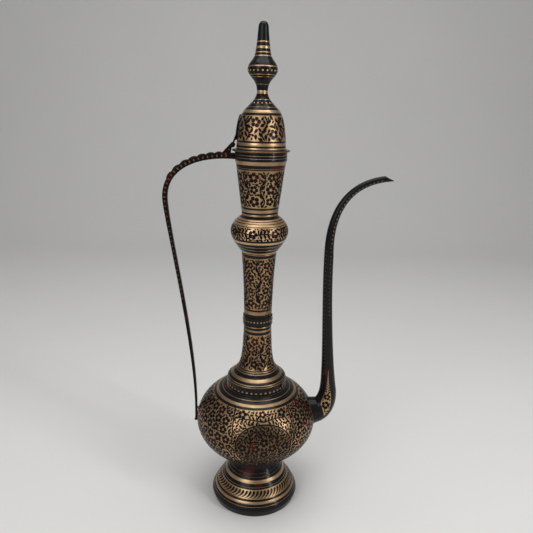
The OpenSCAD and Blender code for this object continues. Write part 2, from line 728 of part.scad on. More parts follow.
module finial_nut() {
    color(STEEL) translate([0, 0, z_small_nut]) difference() {
        cylinder(d = small_nut_w, h = small_nut_h, $fn = 6);
        translate([0, 0, -past]) cylinder(r = stud_r + thread_gap, h = small_nut_h + 2 * past);
    }
}

// Hinge strap: a leaf that lies on the dome, and an arm down to the knuckle
strap_first = 6;
strap_last = 17;
strap_line = [for (i = [strap_first:strap_last]) dome_outline[i]];
strap_foot = dome_outline[strap_first];
strap_head = dome_outline[strap_last];
strap_point = 6;
strap_rivet_at = [9, 13];

module strap_holes() {
    for (i = strap_rivet_at)
        along_x(-dome_r - strap_t - past, -dome_outline[i][0] + dome_wall + past,
            dome_outline[i][1], rivet_r + seat_gap);
}

module lid_strap() {
    shell = joined([strap_line, reversed(inset(strap_line, -strap_t))]);
    leaf = [[-strap_w / 2, strap_foot[1]], [strap_w / 2, strap_foot[1]],
        [strap_w / 2, strap_head[1] - strap_point], [0, strap_head[1]],
        [-strap_w / 2, strap_head[1] - strap_point]];
    hold = [-(strap_foot[0] + strap_t / 2), strap_foot[1] + 1];
    way = hold - [hinge_x, hinge_z];
    unit = way / norm(way);
    half = strap_t / 2 * [unit[1], -unit[0]];
    arm = [[hinge_x, hinge_z] + half, hold + half, hold - half, [hinge_x, hinge_z] - half];
    color(LACQUER) difference() {
        union() {
            intersection() {
                turned(shell);
                translate([-dome_r - strap_t - past, 0, 0]) rotate([90, 0, 90])
                    linear_extrude(dome_r + strap_t) polygon(leaf);
            }
            difference() {
                rotate([90, 0, 0]) linear_extrude(knuckle_w, center = true) union() {
                    polygon(arm);
                    translate([hinge_x, hinge_z]) circle(r = knuckle_r);
                }
                turned(joined([dome_outline, [[0, z_cap], [0, z_dome]]]));
            }
        }
        at_hinge(knuckle_w + 2 * past, pin_r + pin_gap);
        strap_holes();
    }
}

// Strap rivets: flush outside, with a flat head inside the dome
module strap_rivets() {
    color(BRASS) for (i = strap_rivet_at) {
        z = dome_outline[i][1];
        r_in = dome_outline[i + 1][0] - dome_wall;
        face = sqrt(pow(r_in, 2) - pow(rivet_head_r, 2)) - seat_gap;
        along_x(-dome_outline[i][0] - strap_t / 2, -face + rivet_head_t / 2, z, rivet_r);
        along_x(-face, -face + rivet_head_t, z, rivet_head_r);
    }
}

foot();
foot_bolt();
foot_washer();
foot_nut();
bowl_lower();
bowl_upper();
shoulder_collar();
shoulder_nipple();
shoulder_lock_ring();
neck_lower();
neck_ring();
neck_nipple();
neck_upper();
knop_nipple();
knop_lower();
knop_upper();
cup_nipple();
mouth_cup();
mouth_rim();
spout_collar();
spout();
handle();
handle_rivets();
hinge_pin();
lid_brim();
lid_guide_ring();
lid_dome();
lid_cap();
finial();
finial_stud();
finial_nut();
lid_strap();
strap_rivets();
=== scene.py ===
"""Looks of a tall engraved ewer: turned brass under black lacquer with flowers cut back to the metal."""

import logging
from dataclasses import dataclass
from enum import Enum
from typing import Any, Iterable, Protocol, Sequence

import bpy
import numpy as np
from mathutils import Matrix, Vector


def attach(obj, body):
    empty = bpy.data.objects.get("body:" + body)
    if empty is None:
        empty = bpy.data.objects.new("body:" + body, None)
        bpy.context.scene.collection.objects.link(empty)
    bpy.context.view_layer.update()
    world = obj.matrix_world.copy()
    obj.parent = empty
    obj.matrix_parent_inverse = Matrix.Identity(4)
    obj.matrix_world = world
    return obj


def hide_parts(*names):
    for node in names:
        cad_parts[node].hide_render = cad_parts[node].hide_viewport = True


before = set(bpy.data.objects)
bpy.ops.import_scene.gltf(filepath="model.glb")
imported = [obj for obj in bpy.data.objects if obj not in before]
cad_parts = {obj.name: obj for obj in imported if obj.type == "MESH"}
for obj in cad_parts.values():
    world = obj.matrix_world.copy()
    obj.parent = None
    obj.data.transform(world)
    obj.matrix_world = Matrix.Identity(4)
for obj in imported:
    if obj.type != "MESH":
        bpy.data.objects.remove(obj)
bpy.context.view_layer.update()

Array = np.ndarray
Span = tuple[float, float]
Triple = tuple[float, float, float]
log = logging.getLogger("ewer")

# Metres in a millimetre: the sizes of the ewer's pieces are in millimetres
MM = 0.001
# A radius below this lies on the axis
TINY = 1e-9
# How far the bare metal lies below a turned profile
INSET = 0.26
# How far lacquer stands on the metal, and how far ornament reaches into it
COAT = 0.13
SUNK = 0.15
# A full turn, and the steps that a turned piece has in it
TURN = 2 * np.pi
ROUND = 144
# The angle that faces the camera, and the signs of the two sides
FRONT = -np.pi / 2
SIDES = (1.0, -1.0)
# How many petals a flower has
PETALS = 5
# A leaf's usual bend and width, as shares of its length
CURL = 0.25
FAT = 0.50


class Body(Enum):
    """The two bodies that the hinge joins."""

    VESSEL = "vessel"
    LID = "lid"


class Slot(Enum):
    """Names of two finishes, brass and black lacquer."""

    BRASS = "brass"
    LACQUER = "black_lacquer"


class Metal(Enum):
    """Which brass a turned piece shows, by its name among the finishes."""

    BRIGHT = "brass"
    WORN = "worn"
    # A brighter copy of the brass, each colour about 1.4 times as bright: painted sunlight on the knop, the
    # lid and the finial
    SUNLIT = "polished"


# Shaders


class Val:
    """A socket's value in a shader, which plain arithmetic turns into Math nodes."""

    def __init__(self, shader: "Shader", socket: Any) -> None:
        """Keeps the shader and the socket that it wraps."""
        self.shader = shader
        self.socket = socket

    def math(self, kind: str, *others: Any) -> "Val":
        """Adds one Math node to this value and the others."""
        node = self.shader.node("ShaderNodeMath", {"operation": kind}, dict(enumerate((self, *others))))
        return Val(self.shader, node.outputs[0])

    def __add__(self, other: Any) -> "Val":
        """Sum."""
        return self.math("ADD", other)

    __radd__ = __add__

    def __mul__(self, other: Any) -> "Val":
        """Product."""
        return self.math("MULTIPLY", other)

    __rmul__ = __mul__

    def __sub__(self, other: Any) -> "Val":
        """Difference."""
        return self.math("SUBTRACT", other)

    def __rsub__(self, other: float) -> "Val":
        """Difference from a plain number: minus this value, plus the number."""
        return self.math("MULTIPLY_ADD", -1.0, other)

    def step(self, low: float, high: float) -> "Val":
        """A smooth rise from 0 at low to 1 at high.

        Args:
            low: where the rise starts.
            high: where it ends.

        Returns:
            The smooth step.
        """
        node = self.shader.node(
            "ShaderNodeMapRange",
            {"interpolation_type": "SMOOTHSTEP"},
            {"Value": self, "From Min": low, "From Max": high},
        )
        return Val(self.shader, node.outputs[0])


class Shader:
    """A material's node tree with one Principled shader, and short ways to add to it."""

    def __init__(self, name: str) -> None:
        """Starts a material of that name.

        Args:
            name: the material's name.
        """
        self.material = bpy.data.materials.new(name)
        self.material.use_nodes = True
        self.tree = self.material.node_tree
        self.surface = next(n for n in self.tree.nodes if n.type == "BSDF_PRINCIPLED")
        coordinates = self.node("ShaderNodeTexCoord", {}, {})
        self.place = Val(self, coordinates.outputs["Object"])

    def node(self, kind: str, settings: dict[str, Any], inputs: dict[Any, Any]) -> Any:
        """Adds a node.

        Args:
            kind: the node's type.
            settings: properties that are set first.
            inputs: values or wrapped sockets by the input's name or number.

        Returns:
            The new node.
        """
        made = self.tree.nodes.new(kind)
        for key, value in settings.items():
            setattr(made, key, value)
        for key, value in inputs.items():
            self.put(made.inputs[key], value)
        return made

    def put(self, socket: Any, value: Any) -> None:
        """Links a wrapped socket to an input, or sets a plain value on it.

        Args:
            socket: the input.
            value: a wrapped socket or a plain value.
        """
        if isinstance(value, Val):
            self.tree.links.new(value.socket, socket)
        else:
            socket.default_value = value

    def noise(self, scale: float, detail: float = 3.0, stretch: Sequence[float] = (1, 1, 1)) -> Val:
        """A noise value between 0 and 1 at a scale per metre, stretched along the axes.

        Args:
            scale: how fine it is.
            detail: how many finer layers it has.
            stretch: a factor for each axis.

        Returns:
            The noise.
        """
        mapped = self.node("ShaderNodeMapping", {}, {"Vector": self.place, "Scale": tuple(stretch)})
        grain = self.node(
            "ShaderNodeTexNoise",
            {"noise_dimensions": "3D"},
            {"Vector": Val(self, mapped.outputs[0]), "Scale": scale, "Detail": detail},
        )
        return Val(self, grain.outputs["Fac"])

    def blend(self, share: Any, first: Any, second: Any) -> Val:
        """A colour between two colours by a share."""
        made = self.node("ShaderNodeMix", {"data_type": "RGBA"}, {0: share, 6: first, 7: second})
        return Val(self, made.outputs[2])

    def bump(self, height: Val, strength: float, distance: float) -> Val:
        """A bumped normal from a height in metres.

        Args:
            height: the height.
            strength: how much of it shows.
            distance: its full height in metres.

        Returns:
            The normal.
        """
        inputs = {"Height": height, "Strength": strength, "Distance": distance}
        made = self.node("ShaderNodeBump", {}, inputs)
        return Val(self, made.outputs[0])

    def feed(self, **sockets: Any) -> None:
        """Sets or links the Principled shader's sockets, with underscores for spaces."""
        for key, value in sockets.items():
            self.put(self.surface.inputs[key.replace("_", " ")], value)


def rgba(red: float, green: float, blue: float) -> tuple[float, float, float, float]:
    """A solid colour."""
    return (red, green, blue, 1.0)


@dataclass(frozen=True)
class AgedBrass:
    """Brass with a brown bloom in places, lathe lines and a stippled cut ground."""

    name: str
    bright: Triple = (0.45, 0.303, 0.165)
    brown: Triple = (0.18, 0.112, 0.056)
    copper: Triple = (0.40, 0.192, 0.092)
    gloss: float = 0.28
    stipple: float = 0.25

    def made(self) -> bpy.types.Material:
        """The finish as a material.

        Returns:
            Clouds of brown and copper in the bright metal, with flecks and lathe lines.
        """
        shader = Shader(self.name)
        cloud = shader.noise(38.0, 4.0)
        fleck = shader.noise(900.0, 2.0)
        lathe = shader.noise(5.0, 2.0, (3.0, 3.0, 420.0))
        bloom = cloud.step(0.40, 0.66)
        tarnish = bloom * 0.6 + fleck.step(0.5, 0.75) * 0.25
        warm = shader.noise(27.0, 2.0).step(0.58, 0.72)
        metal = shader.blend(warm * 0.6, rgba(*self.bright), rgba(*self.copper))
        shader.feed(
            Base_Color=shader.blend(tarnish, metal, rgba(*self.brown)),
            Metallic=1.0,
            Roughness=self.gloss + bloom * 0.12 + lathe * 0.10,
            Normal=shader.bump(fleck * 0.7 + lathe * 0.5, self.stipple, 0.00012),
        )
        return shader.material


@dataclass(frozen=True)
class BlackLacquer:
    """Black lacquer with maroon clouds, fine turning lines and a soft gloss."""

    name: str
    black: Triple = (0.0065, 0.006, 0.007)
    maroon: Triple = (0.050, 0.005, 0.007)
    rubbed: Triple = (0.016, 0.014, 0.013)
    gloss: float = 0.20
    shine: float = 0.13
    reach: Span = (0.62, 0.70)
    patches: float = 46.0
    coat: float = 0.08

    def made(self) -> bpy.types.Material:
        """The finish as a material.

        Returns:
            Maroon clouds in the black, rubbed along the turning lines.
        """
        shader = Shader(self.name)
        cloud = shader.noise(self.patches, 1.5)
        lines = shader.noise(6.0, 3.0, (2.0, 2.0, 260.0))
        dust = shader.noise(700.0, 3.0)
        worn = lines.step(0.55, 0.8) * 0.5 + dust.step(0.62, 0.8) * 0.25
        coloured = shader.blend(cloud.step(*self.reach), rgba(*self.black), rgba(*self.maroon))
        shader.feed(
            Base_Color=shader.blend(worn, coloured, rgba(*self.rubbed)),
            Roughness=self.gloss + worn * 0.25 + dust * 0.08,
            Specular_IOR_Level=self.shine,
            Coat_Weight=self.coat,
            Coat_Roughness=0.06,
            Normal=shader.bump(lines * 0.6 + dust * 0.4, 0.10, 0.0001),
        )
        return shader.material


@dataclass(frozen=True)
class PlainSteel:
    """Zinc-grey steel of the bolt and its nuts."""

    name: str

    def made(self) -> bpy.types.Material:
        """The finish as a material.

        Returns:
            Two greys mixed by a fine grain.
        """
        shader = Shader(self.name)
        grain = shader.noise(500.0, 3.0)
        shader.feed(
            Base_Color=shader.blend(grain, rgba(0.46, 0.46, 0.45), rgba(0.33, 0.32, 0.30)),
            Metallic=1.0,
            Roughness=0.32 + grain * 0.2,
        )
        return shader.material


# Curves and turned surfaces


def circle(count: int) -> Array:
    """Angles of a closed ring of points."""
    return np.linspace(0.0, TURN, count, endpoint=False)


def evenly(count: int, shift: float = 0.0) -> Array:
    """Angles at even steps round a turn, moved on by a share of a step."""
    return (np.arange(count) + shift) * TURN / count


def wrapped(angle: Array) -> Array:
    """The same angles, brought between half a turn back and half a turn on."""
    return (angle + np.pi) % TURN - np.pi


def spun(across: Array, up: Array, turn: Array) -> tuple[Array, Array]:
    """Flat places turned counter-clockwise about their middle."""
    return across * np.cos(turn) - up * np.sin(turn), across * np.sin(turn) + up * np.cos(turn)


def about(radius: Array, angle: Array, height: Array) -> Array:
    """Points at a radius and an angle about the axis: cosine and sine times the radius, and the height."""
    return np.stack([radius * np.cos(angle), radius * np.sin(angle), height], axis=-1)


def unit(vectors: Array) -> Array:
    """Vectors divided by their own lengths."""
    return vectors / np.linalg.norm(vectors, axis=-1, keepdims=True)


def run_along(points: Array) -> Array:
    """Length along a line at each of its points: the sum of the steps up to it."""
    return np.r_[0.0, np.cumsum(np.linalg.norm(np.diff(points, axis=0), axis=1))]


@dataclass(frozen=True)
class Bend:
    """A cubic curve with two ends and two pulls."""

    ends: tuple[Span, Span, Span, Span]
    steps: int = 24

    def points(self) -> Array:
        """Points on the curve: the sum of its four corners, each weighted by its cubic share.

        Returns:
            Points from end to end.
        """
        t = np.linspace(0.0, 1.0, self.steps + 1)[:, None]
        a, b, c, d = np.array(self.ends, float)
        return (1 - t) ** 3 * a + 3 * t * (1 - t) ** 2 * b + 3 * t**2 * (1 - t) * c + t**3 * d


def chained(*runs: Any) -> Array:
    """Joins runs of points end to end and drops a point that repeats the one before it.

    Args:
        runs: lines of points, in order.

    Returns:
        All the points.
    """
    points = np.vstack([np.asarray(run, float) for run in runs])
    fresh = np.r_[True, np.linalg.norm(np.diff(points, axis=0), axis=1) > 1e-6]
    return points[fresh]


class Outline:
    """The outer profile of a turned piece: radius and height by length along it, in millimetres."""

    def __init__(self, points: Array) -> None:
        """Measures the length along the points."""
        self.points = points
        self.run = run_along(points)

    def at(self, run: Array) -> Array:
        """Radius and height at lengths along the profile."""
        return np.stack([np.interp(run, self.run, self.points[:, i]) for i in (0, 1)], axis=-1)

    def out(self, run: Array) -> Array:
        """Outward unit normals: the tangent, from two near points, turned a quarter.

        Args:
            run: lengths along the profile.

        Returns:
            A normal for each length.
        """
        reach = 0.35
        ahead = unit(self.at(np.minimum(run + reach, self.run[-1])) - self.at(np.maximum(run - reach, 0.0)))
        return np.stack([ahead[..., 1], -ahead[..., 0]], axis=-1)

    def to_run(self, height: Any) -> Any:
        """Length along the profile at a height."""
        return np.interp(height, self.points[:, 1], self.run)

    def corners(self) -> Array:
        """Lengths at which the profile turns sharply.

        Returns:
            Those lengths.
        """
        sharp = 0.2
        way = np.diff(self.points, axis=0)
        lean = np.unwrap(np.arctan2(way[:, 1], way[:, 0]))
        return self.run[1:-1][np.abs(np.diff(lean)) > sharp]

    def raised(self, run: Array, lift: Any) -> Array:
        """Radius and height at lengths along the profile, moved out by a lift."""
        return self.at(run) + self.out(run) * np.asarray(lift)[..., None]

    def place(self, angle: Array, run: Array, lift: Any) -> Array:
        """Points in metres at angles round the axis and lengths along the profile, moved out by a lift."""
        flat = self.raised(run, lift)
        return about(flat[..., 0], angle, flat[..., 1]) * MM


@dataclass
class Shape:
    """Vertices in metres and faces as lists of vertex numbers."""

    points: Array
    faces: list[Array]

    @staticmethod
    def joined(shapes: Iterable["Shape"]) -> "Shape":
        """One shape of several.

        Args:
            shapes: the shapes, in order.

        Returns:
            The joined shape.
        """
        points, faces, base = [], [], 0
        for shape in shapes:
            points.append(shape.points)
            faces.extend(block + base for block in shape.faces)
            base += len(shape.points)
        return Shape(np.vstack(points), faces)

    def piece(self, name: str, material: bpy.types.Material, crease: float = 40.0) -> bpy.types.Object:
        """Puts the shape into the scene as a smooth mesh with sharp creases.

        Args:
            name: the piece's name.
            material: its finish.
            crease: the angle in degrees past which an edge stays sharp.

        Returns:
            The new object.
        """
        mesh = bpy.data.meshes.new(name)
        sizes = np.concatenate([np.full(len(block), block.shape[1]) for block in self.faces])
        corners = np.concatenate([block.ravel() for block in self.faces])
        mesh.vertices.add(len(self.points))
        mesh.vertices.foreach_set("co", self.points.astype(np.float32).ravel())
        mesh.loops.add(len(corners))
        mesh.loops.foreach_set("vertex_index", corners.astype(np.int32))
        mesh.polygons.add(len(sizes))
        mesh.polygons.foreach_set("loop_start", np.r_[0, np.cumsum(sizes)[:-1]].astype(np.int32))
        mesh.polygons.foreach_set("use_smooth", np.ones(len(sizes), bool))
        mesh.update(calc_edges=True)
        mesh.validate()
        mesh.set_sharp_from_angle(angle=np.radians(crease))
        mesh.materials.append(material)
        made = bpy.data.objects.new(name, mesh)
        bpy.context.scene.collection.objects.link(made)
        log.info("%s: %d faces", name, len(sizes))
        return made


class Carrier(Protocol):
    """A surface that ornament lies on: an outline or a tube."""

    run: Array

    def at(self, run: Array) -> Array:
        """Radius and height at lengths along it."""

    def place(self, angle: Array, run: Array, lift: Any) -> Array:
        """Points in metres at angles round it and lengths along it, moved out by a lift."""


def woven(rows: int, columns: int, row_wrap: bool, column_wrap: bool) -> Array:
    """Quads of a grid, numbered row by row, whose last row or column may join the first.

    Args:
        rows: how many rows of points.
        columns: how many points a row has.
        row_wrap: whether the last row joins the first.
        column_wrap: whether the last column joins the first.

    Returns:
        Four vertex numbers a quad.
    """
    i = np.arange(rows if row_wrap else rows - 1)[:, None]
    j = np.arange(columns if column_wrap else columns - 1)[None, :]
    up, on = (i + 1) % rows, (j + 1) % columns
    corners = [i * columns + j, i * columns + on, up * columns + on, up * columns + j]
    return np.stack(np.broadcast_arrays(*corners), axis=-1).reshape(-1, 4)


def repeated(blocks: Iterable[Array], count: int, size: int) -> list[Array]:
    """Faces of one shape copied for many like it, each copy's numbers moved on by the shape's size."""
    start = (np.arange(count) * size)[:, None, None]
    return [(block[None] + start).reshape(-1, block.shape[1]) for block in blocks]


def capped(rows: int, columns: int) -> list[Array]:
    """Faces of a row of closed rings, with the first and the last ring filled."""
    here = np.arange(columns)
    return [woven(rows, columns, False, True), here[::-1][None], (here + (rows - 1) * columns)[None]]


def plate(outline: Array, low: float, high: float) -> Shape:
    """A flat outline in the handle's plane, counter-clockwise, carried from one depth to another.

    Args:
        outline: flat points.
        low: the first depth.
        high: the last depth.

    Returns:
        The closed plate.
    """
    count = len(outline)
    deep = np.repeat([low, high], count)
    points = np.stack([np.tile(outline[:, 0], 2), deep, np.tile(outline[:, 1], 2)], axis=1) * MM
    rim = woven(2, count, False, True)[:, ::-1]
    front = np.arange(count)[None]
    back = np.arange(2 * count - 1, count - 1, -1)[None]
    return Shape(points, [rim, front, back])


def turned(loop: Array) -> Shape:
    """A closed profile, radius and height in millimetres, carried round the axis.

    Args:
        loop: the profile, running up its outer side and back inside, or from axis to axis.

    Returns:
        The surface: each profile point times the cosine and sine of the turn, with its height kept.
    """
    poles = loop[0, 0] < TINY and loop[-1, 0] < TINY
    body = loop[1:-1] if poles else loop
    height = np.repeat(body[:, 1, None], ROUND, axis=1)
    points = about(body[:, 0, None], circle(ROUND), height).reshape(-1, 3)
    faces = [woven(len(body), ROUND, not poles, True)]
    if poles:
        ends = np.array([[0, 0, loop[0, 1]], [0, 0, loop[-1, 1]]])
        first, last = len(points), len(points) + 1
        here = np.arange(ROUND)
        there = (here + 1) % ROUND
        top = (len(body) - 1) * ROUND
        faces.append(np.stack([np.full(ROUND, first), there, here], axis=1))
        faces.append(np.stack([np.full(ROUND, last), top + here, top + there], axis=1))
        points = np.vstack([points, ends])
    return Shape(points * MM, faces)


def strips(surface: Carrier, angle: Array, run: Array, lift: float = COAT, closed: bool = False) -> Shape:
    """Raised strips on a turned surface, each a box section carried along its two edges.

    Args:
        surface: the profile that carries the strips.
        angle: angles round the axis, by strip, station and edge, with the left edge first.
        run: lengths along the profile, in the same order.
        lift: how far the top stands out of the profile.
        closed: whether each strip's end joins its start.

    Returns:
        The strips, sunk a little into the surface, with capped ends where they are open.
    """
    count, stations = angle.shape[:2]
    top = surface.place(angle, run, lift - INSET)
    low = surface.place(angle, run, -SUNK - INSET)
    ring = np.stack([low[:, :, 0], top[:, :, 0], top[:, :, 1], low[:, :, 1]], axis=2)
    blocks = [woven(stations, 4, closed, True)]
    if not closed:
        blocks.append(np.array([[3, 2, 1, 0], np.arange(4) + (stations - 1) * 4]))
    return Shape(ring.reshape(-1, 3), repeated(blocks, count, stations * 4))


def settled(surface: Carrier, local: Array, angle: Array, run: Array, turn: Array) -> tuple[Array, Array]:
    """Carries flat motif edges to their places on a turned surface.

    Args:
        surface: the profile.
        local: edges in millimetres, by motif, station, edge and axis, across and up.
        angle: each motif's angle round the axis.
        run: each motif's length along the profile.
        turn: each motif's own turn, counter-clockwise from outside.

    Returns:
        Angles and lengths: the turned offsets, with the one across divided by the radius there.
    """
    across, up = spun(local[..., 0], local[..., 1], turn[:, None, None])
    radius = surface.at(run)[:, 0]
    along = np.clip(run[:, None, None] + up, 0.0, surface.run[-1])
    return angle[:, None, None] + across / radius[:, None, None], along


def leaves(surface: Carrier, angle: Array, run: Any, turn: Any, length: Any, curl: Any, fat: float,
           lift: float = COAT, swell: float = 1.25) -> Shape:
    """Comma leaves: a bent spine with a width that swells and comes to a point.

    Args:
        surface: the profile that carries them.
        angle: each leaf's foot, as an angle round the axis.
        run: each leaf's foot, as a length along the profile.
        turn: each leaf's direction, counter-clockwise from straight up.
        length: the leaves' length in millimetres.
        curl: how far the tip bends aside, as a share of the length.
        fat: the widest width as a share of the length.
        lift: how far they stand out.
        swell: the power of t in the width, below 1 for a thick foot and above 1 for a thick tip.

    Returns:
        The leaves. The spine is t up and curl times t squared across, and the half width is a skewed sine.
    """
    angle, run, turn, length, curl = np.broadcast_arrays(angle, run, turn, length, curl)
    t = np.linspace(0.0, 1.0, 8)
    grid, droop, foot = (len(curl), len(t)), 0.12, 0.06
    spine = np.stack([curl[:, None] * t**2, np.broadcast_to(t - droop * t**2, grid)], axis=-1)
    ahead = unit(np.stack([2 * curl[:, None] * t, np.broadcast_to(1 - 2 * droop * t, grid)], axis=-1))
    left = np.stack([-ahead[..., 1], ahead[..., 0]], axis=-1)
    half = fat / 2 * (np.sin(np.pi * t**swell) * (1 - foot) + foot * (1 - t))
    edges = np.stack([spine + left * half[:, None], spine - left * half[:, None]], axis=2)
    edges = edges * length[:, None, None, None]
    return strips(surface, *settled(surface, edges, angle, run, turn), lift)


def blobs(surface: Carrier, angle: Array, run: Array, lift: float = COAT) -> Shape:
    """Raised islands on a surface.

    Args:
        surface: the profile that carries them.
        angle: angles round the axis by island and corner, counter-clockwise from outside.
        run: lengths along the profile, in the same order.
        lift: how far the top stands out of the metal.

    Returns:
        The islands: a wall from a sunk ring up to the top ring, with both rings closed.
    """
    count, corners = angle.shape
    low = surface.place(angle, run, -SUNK - INSET)
    top = surface.place(angle, run, lift - INSET)
    here = np.arange(corners)
    blocks = (woven(2, corners, False, True), (here + corners)[None], here[::-1][None])
    points = np.concatenate([low, top], axis=1).reshape(-1, 3)
    return Shape(points, repeated(blocks, count, 2 * corners))


def flowers(surface: Carrier, angle: Array, run: Any, turn: Any, size: Any, lift: float = COAT) -> Shape:
    """Flowers of round petals about a bare metal eye.

    Args:
        surface: the profile that carries them.
        angle: each flower's angle round the axis.
        run: each flower's length along the profile.
        turn: each flower's own turn.
        size: the flowers' radius in millimetres.
        lift: how far they stand out.

    Returns:
        The petals. One is an egg, with a cosine along its ray and a sine across it that swells outwards.
    """
    angle, run, turn, size = np.broadcast_arrays(angle, run, turn, size)
    middle, half, wide, swell = 0.61, 0.39, 2.0 / PETALS, 0.25
    around = circle(10)
    ray = middle + half * np.cos(around)
    across = wide * np.sin(around) * (1 + swell * np.cos(around))
    egg = np.stack(spun(ray, across, evenly(PETALS)[:, None]), axis=-1)
    angle, run = settled(surface, egg[None] * size[:, None, None, None], angle, run, turn)
    corners = len(around)
    return blobs(surface, angle.reshape(-1, corners), run.reshape(-1, corners), lift)


def stems(surface: Outline, angle: Array, run: Array, width: float) -> Shape:
    """Thin stems along lines on the surface.

    Args:
        surface: the profile that carries them.
        angle: angles round the axis by stem and station.
        run: lengths along the profile by stem and station.
        width: the stems' width in millimetres.

    Returns:
        The stems, each line moved half the width to both sides, square to its way in flat millimetres.
    """
    radius = surface.at(run)[..., 0]
    across, up = np.gradient(angle, axis=1) * radius, np.gradient(run, axis=1)
    size = np.hypot(across, up)
    left = np.stack([-up / size, across / size], axis=-1) * width / 2
    both = np.array(SIDES)
    turns = angle[..., None] + left[..., 0, None] * both / radius[..., None]
    return strips(surface, turns, run[..., None] + left[..., 1, None] * both)


def domes(centre: Array, out: Array, across: Array, size: Any, height: float) -> Shape:
    """Low domes set on a surface.

    Args:
        centre: each dome's place in metres.
        out: each dome's outward unit normal.
        across: a unit vector in the surface, along the dome's first half width.
        size: two half widths in millimetres.
        height: how far the domes stand out, in millimetres.

    Returns:
        The domes: rings of ten points on a quarter circle, closed at the top and sunk at the foot.
    """
    lean = np.array([-0.35, 0.25, 0.75]) * np.pi / 2
    rows, rim, count = len(lean), 10, len(centre)
    around = circle(rim)
    side = np.cross(out, across)
    flat = np.cos(np.maximum(lean, 0.0))[:, None, None]
    plane = (
        across[:, None, None] * (np.cos(around) * size[0])[None, None, :, None]
        + side[:, None, None] * (np.sin(around) * size[1])[None, None, :, None]
    )
    rise = out[:, None, None] * (np.sin(lean) * height)[None, :, None, None]
    ring = centre[:, None, None] + (plane * flat[None] + rise) * MM
    tip = centre + out * height * MM
    points = np.concatenate([ring.reshape(count, -1, 3), tip[:, None]], axis=1)
    here, top, last = np.arange(rim), (rows - 1) * rim, rows * rim
    cap = np.stack([top + here, top + (here + 1) % rim, np.full(rim, last)], axis=1)
    blocks = (woven(rows, rim, False, True), cap, here[::-1][None])
    return Shape(points.reshape(-1, 3), repeated(blocks, count, last + 1))


def dot_row(surface: Outline, height: float, count: int, size: float) -> Shape:
    """A row of low metal dots round a turned piece at a height, in millimetres.

    Args:
        surface: the profile that carries the dots.
        height: where the row lies.
        count: how many dots it has.
        size: a dot's radius.

    Returns:
        The dots as low domes.
    """
    rise = 0.5
    angle = FRONT + evenly(count)
    run = np.full(count, surface.to_run(height))
    flat = surface.out(run)
    out = about(flat[:, 0], angle, flat[:, 1])
    across = np.stack([-np.sin(angle), np.cos(angle), np.zeros(count)], axis=1)
    return domes(surface.place(angle, run, COAT - INSET), out, across, (size, size), rise)


# Ornament


class Motif(Protocol):
    """Ornament that a turned piece can carry."""

    def shapes(self, surface: Outline) -> list[Shape]:
        """The ornament on that profile."""


